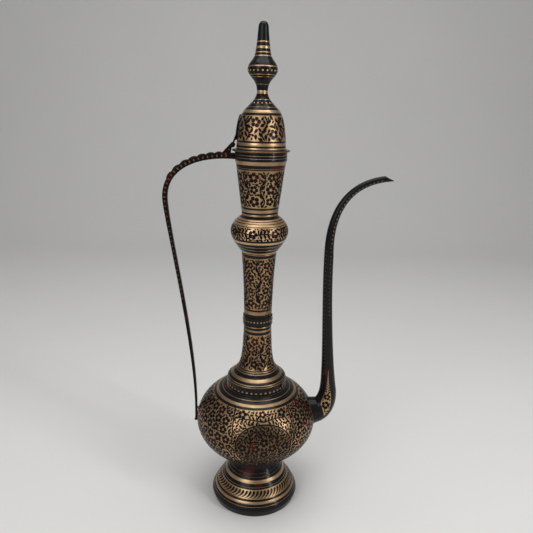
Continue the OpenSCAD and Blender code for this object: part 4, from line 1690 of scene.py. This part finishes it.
@dataclass(frozen=True)
class Spout:
    """The swan-neck spout: a bent tube that narrows, with a slanting beak."""

    root: Span = (64.5442, 105.939)
    tilt: float = 13.535
    lip: float = 2.0
    elbow: Span = (79.3, 133.939)
    stem: Span = (72.3, 284.904)
    tip: Span = (132.75, 365.904)
    root_half: float = 14.4
    root_side: float = 12.4
    elbow_half: float = 9.0
    stem_half: float = 5.0
    tip_half: float = 2.9
    wall: float = 0.9
    beak: float = 8.4
    sides: int = 48

    def line(self) -> tuple[Array, Array, Array, Array]:
        """The middle line, its half heights, half depths and the beak's slant at each station.

        Returns:
            Four arrays with a row for each station.
        """
        lean = np.radians(self.tilt)
        way = np.array([np.cos(lean), np.sin(lean)])
        start = np.array(self.root) + self.lip * way
        elbow, stem, tip = (np.array(p) for p in (self.elbow, self.stem, self.tip))
        rise, (reach, bend) = stem[1] - elbow[1], tip - stem
        runs = (
            Bend((start, start + 8 * way, elbow - (-0.7, 15), elbow), 28),
            Bend((elbow, elbow + (-0.8, 0.14 * rise), stem - (0.3, 0.33 * rise), stem), 60),
            Bend((stem, stem + (-1.6, 0.5 * bend), (stem[0] + 0.18 * reach, tip[1] - 3), tip), 60),
        )
        t = [np.linspace(0.0, 1.0, run.steps + 1) for run in runs]
        half = np.r_[
            self.root_half + (self.elbow_half - self.root_half) * t[0],
            (self.stem_half + (self.elbow_half - self.stem_half) * (1 - t[1]) ** 2.6)[1:],
            (self.stem_half + (self.tip_half - self.stem_half) * t[2] ** 0.8)[1:],
        ]
        side = half.copy()
        side[: len(t[0])] = self.root_side + (self.elbow_half - self.root_side) * t[0]
        slant = np.r_[np.zeros(len(t[0]) + len(t[1]) - 1), (self.beak * t[2] ** 3)[1:]]
        return chained(*(run.points() for run in runs)), half, side, slant

    def tube(self) -> Tube:
        """The spout's outer skin as a surface."""
        return Tube(*self.line())

    def skin(self) -> Shape:
        """The tube: its outer skin from root to beak, and the bore's skin back again.

        Returns:
            The closed tube.
        """
        tube = self.tube()
        angle = circle(self.sides)[None]
        run = tube.run[:, None]
        outer = tube.place(angle, run, 0.0)
        lip = tube.place(angle, run[-1:], -self.wall / 2)
        inner = tube.place(angle, run, -self.wall)[::-1]
        grid = np.vstack([outer, lip, inner])
        return Shape(grid.reshape(-1, 3), [woven(len(grid), self.sides, True, True)])

    def panels(self) -> Shape:
        """Teardrop metal panels on both flanks of the elbow, with a long point up the stem.

        Returns:
            Both panels.
        """
        tube, out = self.tube(), []
        stations, columns, proud, sunk = 64, 13, 0.16, 0.3
        run = np.linspace(PANEL_RUN[0], PANEL_RUN[-1], stations)
        half = np.interp(run, PANEL_RUN, PANEL_HALF)
        middle = -np.interp(run, PANEL_RUN, PANEL_TURN)
        for flank in SIDES:
            across = np.linspace(-1.0, 1.0, columns) * flank
            angle = flank * (middle[:, None] + half[:, None] * across)
            edge = proud * np.sqrt(np.clip(1 - np.abs(across) ** 6, 0.0, 1.0))
            top = tube.place(angle, run[:, None], edge[None])
            low = tube.place(angle, run[:, None], -sunk)[:, ::-1]
            grid = np.concatenate([top, low], axis=1)
            out.append(Shape(grid.reshape(-1, 3), [woven(stations, 2 * columns, False, True)]))
        return Shape.joined(out)

    def sprigs(self) -> Shape:
        """Black flowers on the panels, and leaves in three groups: below, beside and above the flowers.

        Returns:
            The flowers and leaves of both flanks.
        """
        tube, out = self.tube(), []
        proud, counts = INSET + 0.3, (4, 8, 16)
        ends = (7.4, 10.4, 13.0, 27.0, 29.0, 52.0)
        blooms, turns, sizes = np.array([16.0, 25.5]), np.array([0.3, 1.5]), np.array([4.7, 3.9])
        run = np.concatenate([np.linspace(*ends[2 * i:2 * i + 2], count) for i, count in enumerate(counts)])
        sign = np.where(np.arange(len(run)) % 2 == 0, 1.0, -1.0)
        spread = np.repeat([0.15, 0.74, 0.10], counts) * np.interp(run, PANEL_RUN, PANEL_HALF) * sign
        size = np.interp(run, ends, [3.0, 4.2, 3.0, 3.0, 4.6, 2.0])
        for flank in SIDES:
            angle = -flank * np.interp(blooms, PANEL_RUN, PANEL_TURN)
            out.append(flowers(tube, angle, blooms, turns, sizes, proud))
            angle = -flank * (np.interp(run, PANEL_RUN, PANEL_TURN) + spread)
            turn = flank * sign * np.repeat([0.7, -0.3, 0.55], counts)
            out.append(leaves(tube, angle, run, turn, size, -flank * sign * CURL, 0.46, proud))
        return Shape.joined(out)

    def beads(self) -> Shape:
        """Rows of tiny metal beads up both flanks, and on along the bent top.

        Returns:
            All the beads.
        """
        tube, out = self.tube(), []
        pitch, rise, last = 4.3, 0.42, tube.run[-1] - 8.0
        rows = (-0.85, 52.0, 190.0, 0.55), (-1.85, 120.0, 196.0, 0.55), (-1.95, 198.0, last, 0.84)
        for angle, low, high, size in rows:
            run = np.arange(low, high, pitch)
            for flank in SIDES:
                turn = np.full(len(run), flank * angle)
                place, out_way = tube.place(turn, run, 0.0), tube.normal(turn, run)
                out.append(domes(place, out_way, tube.forward(run), (size * 1.1, size), rise))
        return Shape.joined(out)

    def collar(self, bowl: Bowl) -> Shape:
        """The flare between the bowl and the tube: the tube's first taper carried back to meet the bowl.

        Args:
            bowl: the bowl, whose round the flare's foot follows, a little below its face.

        Returns:
            A closed sleeve. Each foot point is where a line along the spout meets the flattened ball.
        """
        reach, back, sunk, margin, wall, taper_run = 4.0, -4.0, 1.0, 0.5, -0.6, 32.6
        angle = circle(self.sides)
        lean = np.radians(self.tilt)
        way = np.array([np.cos(lean), 0.0, np.sin(lean)])
        up, deep = np.array([-way[2], 0.0, way[0]]), np.array([0.0, -1.0, 0.0])
        start = np.array([self.root[0], 0.0, self.root[1] - bowl.middle]) + self.lip * way
        taper = (np.array([self.root_half, self.root_side]) - self.elbow_half) / taper_run
        ball = np.array([bowl.radius, bowl.radius, bowl.half_h])

        def ring(along: Array, lift: Array) -> Array:
            """Points at lengths along the spout from its start, with the taper's half widths and a lift.

            Args:
                along: the lengths.
                lift: how far out of the taper.

            Returns:
                The points.
            """
            high = self.root_half - taper[0] * along + lift
            side = self.root_side - taper[1] * along + lift
            cross = (high * np.cos(angle))[..., None] * up + (side * np.sin(angle))[..., None] * deep
            return start + along[..., None] * way + cross

        level = ring(np.full(self.sides, back), np.full(self.sides, margin)) / ball
        ahead = way / ball
        a, b, c = ahead @ ahead, level @ ahead, (level**2).sum(axis=1) - 1
        foot = back + (-b + np.sqrt(b * b - a * c)) / a - sunk
        t = np.linspace(0.0, 1.0, 9)
        share = np.r_[t, 1.0, 0.0][:, None]
        lift = np.r_[margin * (1 - t) ** 2 + 0.05, wall, wall][:, None]
        grid = ring(foot + (reach - foot) * share, np.broadcast_to(lift, (len(share), self.sides)))
        grid[..., 2] += bowl.middle
        return Shape(grid.reshape(-1, 3) * MM, [woven(len(share), self.sides, True, True)])

    def edge(self, bowl: Outline) -> Shape:
        """A thin metal line on the bowl round the spout's collar: a ring in flat millimetres.

        Args:
            bowl: the bowl's profile.

        Returns:
            The line as a low closed strip.
        """
        inner, outer, around = 15.3, 16.1, circle(72)
        ring = np.stack([np.cos(around), np.sin(around)], axis=-1)
        flat = np.stack([ring * inner, ring * outer], axis=1)[None]
        run = float(bowl.to_run(self.root[1])) + flat[..., 1]
        return strips(bowl, flat[..., 0] / bowl.at(run)[..., 0], run, INSET + 0.12, True)

    def build(self, finishes: Finishes, bowl: Bowl) -> None:
        """Makes the tube, its flare and its metal trim, and dresses them.

        Args:
            finishes: the materials.
            bowl: the bowl that carries the spout.
        """
        skin = self.skin().piece("spout_skin", finishes.lacquer, 50.0)
        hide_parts("spout")
        flare = self.collar(bowl).piece("spout_flare", finishes.lacquer, 50.0)
        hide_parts("spout_collar")
        for piece in (skin, flare):
            carry(piece, Body.VESSEL)
        trim = {
            "spout_panels": (self.panels(), finishes.brass, Slot.BRASS),
            "spout_sprigs": (self.sprigs(), finishes.mottled, Slot.LACQUER),
            "spout_beads": (self.beads(), finishes.smoked_and_shaded, Slot.BRASS),
            "spout_edge": (self.edge(bowl.surface()), finishes.brass, Slot.BRASS),
        }
        for name, (shape, material, slot) in trim.items():
            carry(shape.piece(name, material), Body.VESSEL)


@dataclass(frozen=True)
class Handle:
    """The slim cast handle: a scalloped arm, a long bar, and the fin that carries the hinge."""

    top: Span = (-24.9, 384.304)
    bend: Span = (-95.4, 341.704)
    tab: Span = (-66.75, 111.939)
    low: Span = (-66.75, 91.939)
    hinge: Span = (-27.9, 395.204)
    top_half: float = 3.0
    bend_half: float = 2.6
    mid_half: float = 1.9
    low_half: float = 1.2
    width: float = 6.0
    ear_r: float = 2.5
    fin_run: float = 11.0
    scallops: int = 7
    start: float = 0.4

    def line(self) -> tuple[Array, Array]:
        """The middle line from the rim to the tab, and the half thickness along it.

        Returns:
            The points and the half thicknesses.
        """
        top, bend, tab, low = (np.array(p) for p in (self.top, self.bend, self.tab, self.low))
        span, drop, fall = top[0] - bend[0], top[1] - bend[1], bend[1] - tab[1]
        arm = Bend((top, top - (0.49 * span, -0.06 * drop), bend + (0, 0.78 * drop), bend), 120)
        bar = Bend((bend, bend - (-1.2, 0.13 * fall), tab + (-0.45, 0.34 * fall), tab), 90)
        foot = tab + (low - tab) * np.linspace(0.0, 1.0, 13)[:, None]
        t, u = np.linspace(0.0, 1.0, arm.steps + 1), np.linspace(0.0, 1.0, bar.steps + 1)[1:]
        knee = 0.3
        thin = self.low_half - self.mid_half
        slim = self.mid_half + thin * (np.clip(u - knee, 0.0, 1.0) / (1 - knee)) ** 2
        half = np.r_[
            self.top_half + (self.bend_half - self.top_half) * t,
            np.where(u < knee, self.bend_half + (self.mid_half - self.bend_half) * u / knee, slim),
            np.full(len(foot) - 1, self.low_half),
        ]
        return chained(arm.points(), bar.points(), foot), half

    def bar(self) -> Shape:
        """The bar: a rounded box section carried along the line, with bumps on the arm's upper edge.

        Returns:
            The closed bar.
        """
        line, half = self.line()
        way, run = ways(line), run_along(line)
        keep = run >= self.start
        line, half, way, run = line[keep], half[keep], way[keep], run[keep]
        first, reach, sides, square, tall, sunk = 13.0, 62.0, 36, 5, 1.5, 0.35
        share = (run - first) / reach
        inside = (share > 0) & (share < 1)
        wave = np.abs(np.sin(np.pi * self.scallops * np.clip(share, 0.0, 1.0) ** 0.92)) ** 0.75
        bump = np.where(inside, wave * tall - sunk, 0.0)
        bump += 0.9 * np.exp(-(((run[-1] - run) / 1.6) ** 2))
        angle = circle(sides)
        c, s = np.cos(angle), np.sin(angle)
        box = (np.abs(c) ** square + np.abs(s) ** square) ** (-1 / square)
        high = np.where(c > 0, half[:, None] + bump[:, None], half[:, None]) * c * box
        out = np.stack([way[:, 1], -way[:, 0]], axis=1)
        flat = line[:, None] + high[..., None] * out[:, None]
        deep = np.broadcast_to(self.width / 2 * s * box, high.shape)
        grid = np.stack([flat[..., 0], deep, flat[..., 1]], axis=-1) * MM
        return Shape(grid.reshape(-1, 3), capped(len(grid), sides))

    def marks(self) -> Shape:
        """Metal ovals and strokes down both flat sides of the arm and the upper bar.

        Returns:
            All the marks.
        """
        line, _ = self.line()
        way, run, out = ways(line), run_along(line), []
        rows = (9.0, 92.0, 4.6, (0.85, 1.3)), (96.0, 205.0, 5.2, (0.55, 0.85))
        for low, high, pitch, size in rows:
            at = np.arange(low, high, pitch)
            places = np.stack([np.interp(at, run, line[:, i]) for i in (0, 1)], axis=1)
            ahead = np.stack([np.interp(at, run, way[:, i]) for i in (0, 1)], axis=1)
            out += self.pairs(places, ahead, size)
        fin = np.array(self.hinge) + np.array([(-6.6, -8.6), (-3.4, -4.6)])
        out += self.pairs(fin, np.tile([0.6, 0.8], (2, 1)), (0.8, 0.65))
        return Shape.joined(out)

    def pairs(self, places: Array, ahead: Array, size: Span) -> list[Shape]:
        """Low metal ovals at flat places on both sides of the handle, with a way for their first width.

        Args:
            places: the flat places.
            ahead: unit ways there.
            size: two half widths.

        Returns:
            A shape for each side.
        """
        out, zero, rise = [], np.zeros(len(places)), 0.3
        along = np.stack([ahead[:, 0], zero, ahead[:, 1]], axis=1)
        for flank in SIDES:
            deep = zero + flank * (self.width / 2 - 0.05)
            centre = np.stack([places[:, 0], deep, places[:, 1]], axis=1) * MM
            out.append(domes(centre, np.tile([0.0, flank, 0.0], (len(places), 1)), along, size, rise))
        return out

    def fin(self, ear: bool) -> Array:
        """The fin's flat outline from the arm up to the hinge, with or without the round ear.

        Args:
            ear: whether the ear is there.

        Returns:
            The flat outline.
        """
        x, z = self.hinge
        base, start, end = self.top[1], x - self.fin_run, x - self.ear_r
        foot = [(start, base + self.top_half - 0.4), (start, base), (end, base)]
        if not ear:
            return np.array([*foot[:2], (end - 0.5, base), (end - 0.5, z - 1.4)])
        turn = np.radians(np.linspace(-110.0, 128.0, 20))
        eye = np.stack([x + self.ear_r * np.cos(turn), z + self.ear_r * np.sin(turn)], axis=1)
        return np.vstack([foot, eye])

    def lugs(self) -> Shape:
        """Two cheeks with ears and the web between them: flat outlines carried across.

        Returns:
            The cheeks and the web.
        """
        slot = 1.5
        cheeks = ((self.fin(True), slot, self.width / 2), (self.fin(True), -self.width / 2, -slot))
        return Shape.joined(plate(*part) for part in (*cheeks, (self.fin(False), -slot, slot)))

    def build(self, finishes: Finishes) -> None:
        """Makes the bar, the lugs and the marks, and dresses them.

        Args:
            finishes: the materials.
        """
        bar = self.bar().piece("handle_bar", finishes.mottled, 50.0)
        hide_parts("handle")
        lugs = self.lugs().piece("handle_lugs", finishes.mottled, 35.0)
        soften(lugs)
        marks = self.marks().piece("handle_marks", finishes.smoked_and_shaded)
        for piece, slot in ((bar, Slot.LACQUER), (lugs, Slot.LACQUER), (marks, Slot.BRASS)):
            carry(piece, Body.VESSEL)


@dataclass(frozen=True)
class Brim:
    """The lid's thin brim."""

    inner: float = 20.3
    seat: float = 25.6
    outer: float = 28.5
    low: float = 389.704
    high: float = 391.304

    def build(self, finishes: Finishes) -> None:
        """Makes the brim: a flat ring with a half-round edge, turned round the axis.

        Args:
            finishes: the materials.
        """
        half = (self.high - self.low) / 2
        lean = np.linspace(-np.pi / 2, np.pi / 2, 11)
        edge = np.stack([self.outer - half + half * np.cos(lean), self.low + half + half * np.sin(lean)], 1)
        loop = chained([(self.inner, self.low)], edge, [(self.seat, self.high), (self.inner, self.high)])
        brim = turned(loop).piece("lid_brim_ring", finishes.smoked_and_shaded)
        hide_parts("lid_brim")
        carry(brim, Body.LID)


@dataclass(frozen=True)
class StrapWeb:
    """The web in the corner between the hinge strap's arm and the dome."""

    arm: Span = (-26.6, 398.3)
    dome: Span = (-23.6, 399.9)
    head: Span = (-23.0, 407.5)
    back: Span = (-25.0, 405.5)
    half: float = 1.2

    def build(self, finishes: Finishes) -> None:
        """Makes the web: a flat outline with a hollow lower edge, carried across the arm's width.

        Args:
            finishes: the materials.
        """
        lower = Bend((self.arm, (-25.9, 399.5), (-24.9, 400.3), self.dome), 6)
        web = plate(chained(lower.points(), [self.head, self.back]), -self.half, self.half)
        piece = web.piece("strap_web", finishes.lacquer, 35.0)
        soften(piece)
        carry(piece, Body.LID)


# Studio


@dataclass(frozen=True)
class Lamp:
    """A soft panel of light that faces a point."""

    name: str
    place: Triple
    aim: Triple
    size: Span
    power: float

    def build(self) -> None:
        """Puts the panel into the scene."""
        light = bpy.data.lights.new(self.name, "AREA")
        light.shape, light.size, light.size_y, light.energy = "RECTANGLE", *self.size, self.power
        lamp = bpy.data.objects.new(self.name, light)
        lamp.location = self.place
        lamp.rotation_euler = (Vector(self.aim) - Vector(self.place)).to_track_quat("-Z", "Y").to_euler()
        bpy.context.scene.collection.objects.link(lamp)


@dataclass(frozen=True)
class Studio:
    """The pale sweep, the lamps and the camera."""

    focal: float = 549.0
    image: float = 533.0
    back: float = 0.5484
    height: float = 0.4304
    pitch: float = 16.1
    yaw: float = 0.84
    roll: float = 1.4
    lamps: tuple[Lamp, ...] = (
        Lamp("tall_panel", (1.0, -0.68, 0.68), (0.0, 0.0, 0.28), (0.12, 0.95), 5.8),
        Lamp("left_panel", (-0.65, -1.0, 0.8), (0.0, 0.0, 0.22), (0.7, 0.9), 5.0),
        Lamp("top_panel", (0.05, -0.1, 1.45), (0.0, 0.0, 0.2), (1.1, 1.1), 11.0),
    )

    def sweep(self) -> None:
        """A floor that curves up into a wall behind: a level line, a quarter circle and an upright line."""
        lean, bend, start, front, top = np.linspace(0.0, np.pi / 2, 24), 0.7, 1.1, -4.0, 4.0
        turn = np.stack([start + bend * np.sin(lean), bend - bend * np.cos(lean)], axis=1)
        side = np.vstack([[(front, 0.0)], turn, [(start + bend, top)]])
        across = np.array([-5.0, 5.0])
        grid = np.stack(np.broadcast_arrays(across[None], side[:, :1], side[:, 1:]), axis=-1)
        shader = Shader("pale_sweep")
        cloud = shader.noise(3.0, 4.0)
        pale = shader.blend(cloud, rgba(0.72, 0.71, 0.69), rgba(0.76, 0.75, 0.73))
        shader.feed(Base_Color=pale, Roughness=0.75)
        floor = Shape(grid.reshape(-1, 3), [woven(len(side), len(across), False, False)])
        floor.piece("sweep", shader.material)

    def world(self) -> None:
        """A soft even sky."""
        world = bpy.data.worlds.new("soft_room")
        world.use_nodes = True
        sky = next(n for n in world.node_tree.nodes if n.type == "BACKGROUND")
        sky.inputs["Color"].default_value = rgba(0.95, 0.97, 1.0)
        sky.inputs["Strength"].default_value = 0.28
        bpy.context.scene.world = world

    def camera(self) -> None:
        """The photograph's view: back along the depth, turned down, a little aside and rolled."""
        lens = bpy.data.cameras.new("view")
        sensor = 36.0
        lens.sensor_fit, lens.sensor_width = "HORIZONTAL", sensor
        lens.lens = sensor * self.focal / self.image
        camera = bpy.data.objects.new("view", lens)
        angles = np.radians([-self.yaw, 90.0 - self.pitch, self.roll])
        yaw, pitch, roll = (Matrix.Rotation(turn, 4, axis) for turn, axis in zip(angles, "ZXZ"))
        camera.matrix_world = Matrix.Translation((0.0, -self.back, self.height)) @ (yaw @ pitch @ roll)
        bpy.context.scene.collection.objects.link(camera)
        bpy.context.scene.camera = camera

    def build(self) -> None:
        """Sets up the whole studio."""
        self.camera()
        self.sweep()
        self.world()
        for lamp in self.lamps:
            lamp.build()
        bpy.context.scene.view_settings.view_transform = "Standard"


# The ewer


STEEL_NODES = ("foot_bolt", "foot_washer", "foot_nut", "finial_nut")
LACQUER_NODES = ("lid_strap", "hinge_pin")
SMOKED_NODES = ("handle_rivets", "strap_rivets")


def parts() -> list[TurnedPart]:
    """The turned pieces from the foot to the finial, with bare bands, dots and ornament in millimetres.

    Returns:
        The pieces in order.
    """
    return [
        Foot("foot", ("foot",),
             ((11.7, 12.1), (14.4, 16.7), (18.8, 27.0), (28.6, 29.0), (32.1, 35.2), (37.7, 38.0),
              (41.0, 41.3)),
             ornament=(LeafRow(26.4, 60, 9.4, 0.12, 0.80, 0.29),)),
        Bowl("bowl", ("bowl_lower", "bowl_upper"),
             ((57.5, 130.9), (132.6, 134.4), (136.5, 136.8)),
             ornament=(FlowerField(57.5, 130.9),)),
        Shoulder("shoulder", ("shoulder_collar",),
                 ((147.4, 148.4), (149.6, 150.3), (152.3, 154.8), (158.0, 158.7)),
                 dots=((141.5, 40, 1.3),)),
        Neck("neck", ("neck_lower", "neck_ring", "neck_upper"),
             ((159.8, 160.7), (161.8, 200.4), (203.5, 205.6), (208.1, 209.0), (222.8, 226.5),
              (228.7, 284.5), (287.6, 288.5)),
             metal=Metal.WORN,
             dots=((215.0, 28, 1.0),),
             ornament=(Vine(162.2, 200.0, 6, 1.5, 2.4, 4.4, 6.8, 0.35),
                       Vine(229.1, 284.1, 6, 2.0, 2.4, 4.4, 6.8, 0.0, 5.4))),
        Knop("knop", ("knop_lower", "knop_upper"),
             ((288.9, 290.5), (293.6, 293.9), (297.2, 297.5), (300.4, 302.8), (305.2, 318.3),
              (318.9, 320.9), (321.5, 323.0), (323.6, 325.0)),
             # The knop, the lid and the finial take the brighter brass: painted sunlight
             metal=Metal.SUNLIT,
             ornament=(Garland(305.4, 318.1, 8, 4.8, 5.8),)),
        Cup("cup", ("mouth_cup", "mouth_rim"),
            ((327.4, 329.0), (330.9, 333.9), (335.9, 372.7), (373.9, 374.3), (377.5, 381.0), (383.6, 384.1),
             (386.3, 386.8)),
            ornament=(Vine(336.3, 372.3, 8, 1.5, 2.4, 5.4, 7.4, 0.1),)),
        LidDome("lid_dome", ("lid_dome", "lid_cap"),
                ((392.2, 393.7), (395.6, 398.4), (400.2, 423.7), (426.0, 428.7), (431.2, 431.6),
                 (438.0, 438.5), (443.5, 444.5)),
                metal=Metal.SUNLIT,
                dots=((435.0, 16, 0.95),),
                ornament=(Vine(400.6, 423.3, 8, 1.0, 2.6, 5.0, 7.4, 0.92, 6.4, (6.4, 5.0, 3.8), True),)),
        Finial("finial", ("finial",),
               ((444.8, 446.2), (451.6, 451.9), (458.0, 458.2), (459.9, 460.3), (467.3, 468.4),
                (476.7, 477.6), (479.7, 480.7), (483.4, 485.7), (488.9, 490.0)),
               metal=Metal.SUNLIT,
               dots=((463.8, 20, 0.9),)),
    ]


def dress_nodes(finishes: Finishes) -> None:
    """Gives the CAD nodes that still show their finish.

    Args:
        finishes: the materials.
    """
    kinds = dict.fromkeys(STEEL_NODES, finishes.steel)
    kinds |= dict.fromkeys(LACQUER_NODES, finishes.lacquer)
    kinds |= dict.fromkeys(SMOKED_NODES, finishes.smoked_and_shaded)
    for name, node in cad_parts.items():
        for slot in node.material_slots:
            slot.material = kinds.get(name, finishes.brass)


def main() -> None:
    """Builds the studio and the ewer, piece by piece."""
    logging.basicConfig(level=logging.INFO, format="%(name)s %(message)s")
    Studio().build()
    finishes = Finishes(*(finish.made() for finish in (
        AgedBrass("aged_brass"),
        AgedBrass("worn_brass", (0.375, 0.235, 0.122), (0.15, 0.088, 0.042), (0.335, 0.15, 0.068)),
        # Painted sunlight: the aged brass with every colour about 1.4 times as bright
        AgedBrass("sunlit_brass", (0.62, 0.418, 0.226), (0.25, 0.157, 0.078), (0.55, 0.265, 0.128)),
        # Darker brass, which on the medallions is a painted reflection of dark surroundings
        AgedBrass("smoked_and_shaded_brass", (0.18, 0.118, 0.060), (0.095, 0.061, 0.031), (0.155, 0.085, 0.043)),
        BlackLacquer("black_lacquer"),
        BlackLacquer("mottled_lacquer", (0.0078, 0.0054, 0.0056), shine=0.05, reach=(0.57, 0.72),
                     patches=95.0, coat=0.03),
        PlainSteel("plain_steel"),
    )))
    dress_nodes(finishes)
    for part in parts():
        part.build(finishes)
        if isinstance(part, Bowl):
            Spout().build(finishes, part)
    Handle().build(finishes)
    Brim().build(finishes)
    StrapWeb().build(finishes)


if __name__ == "__main__":
    main()
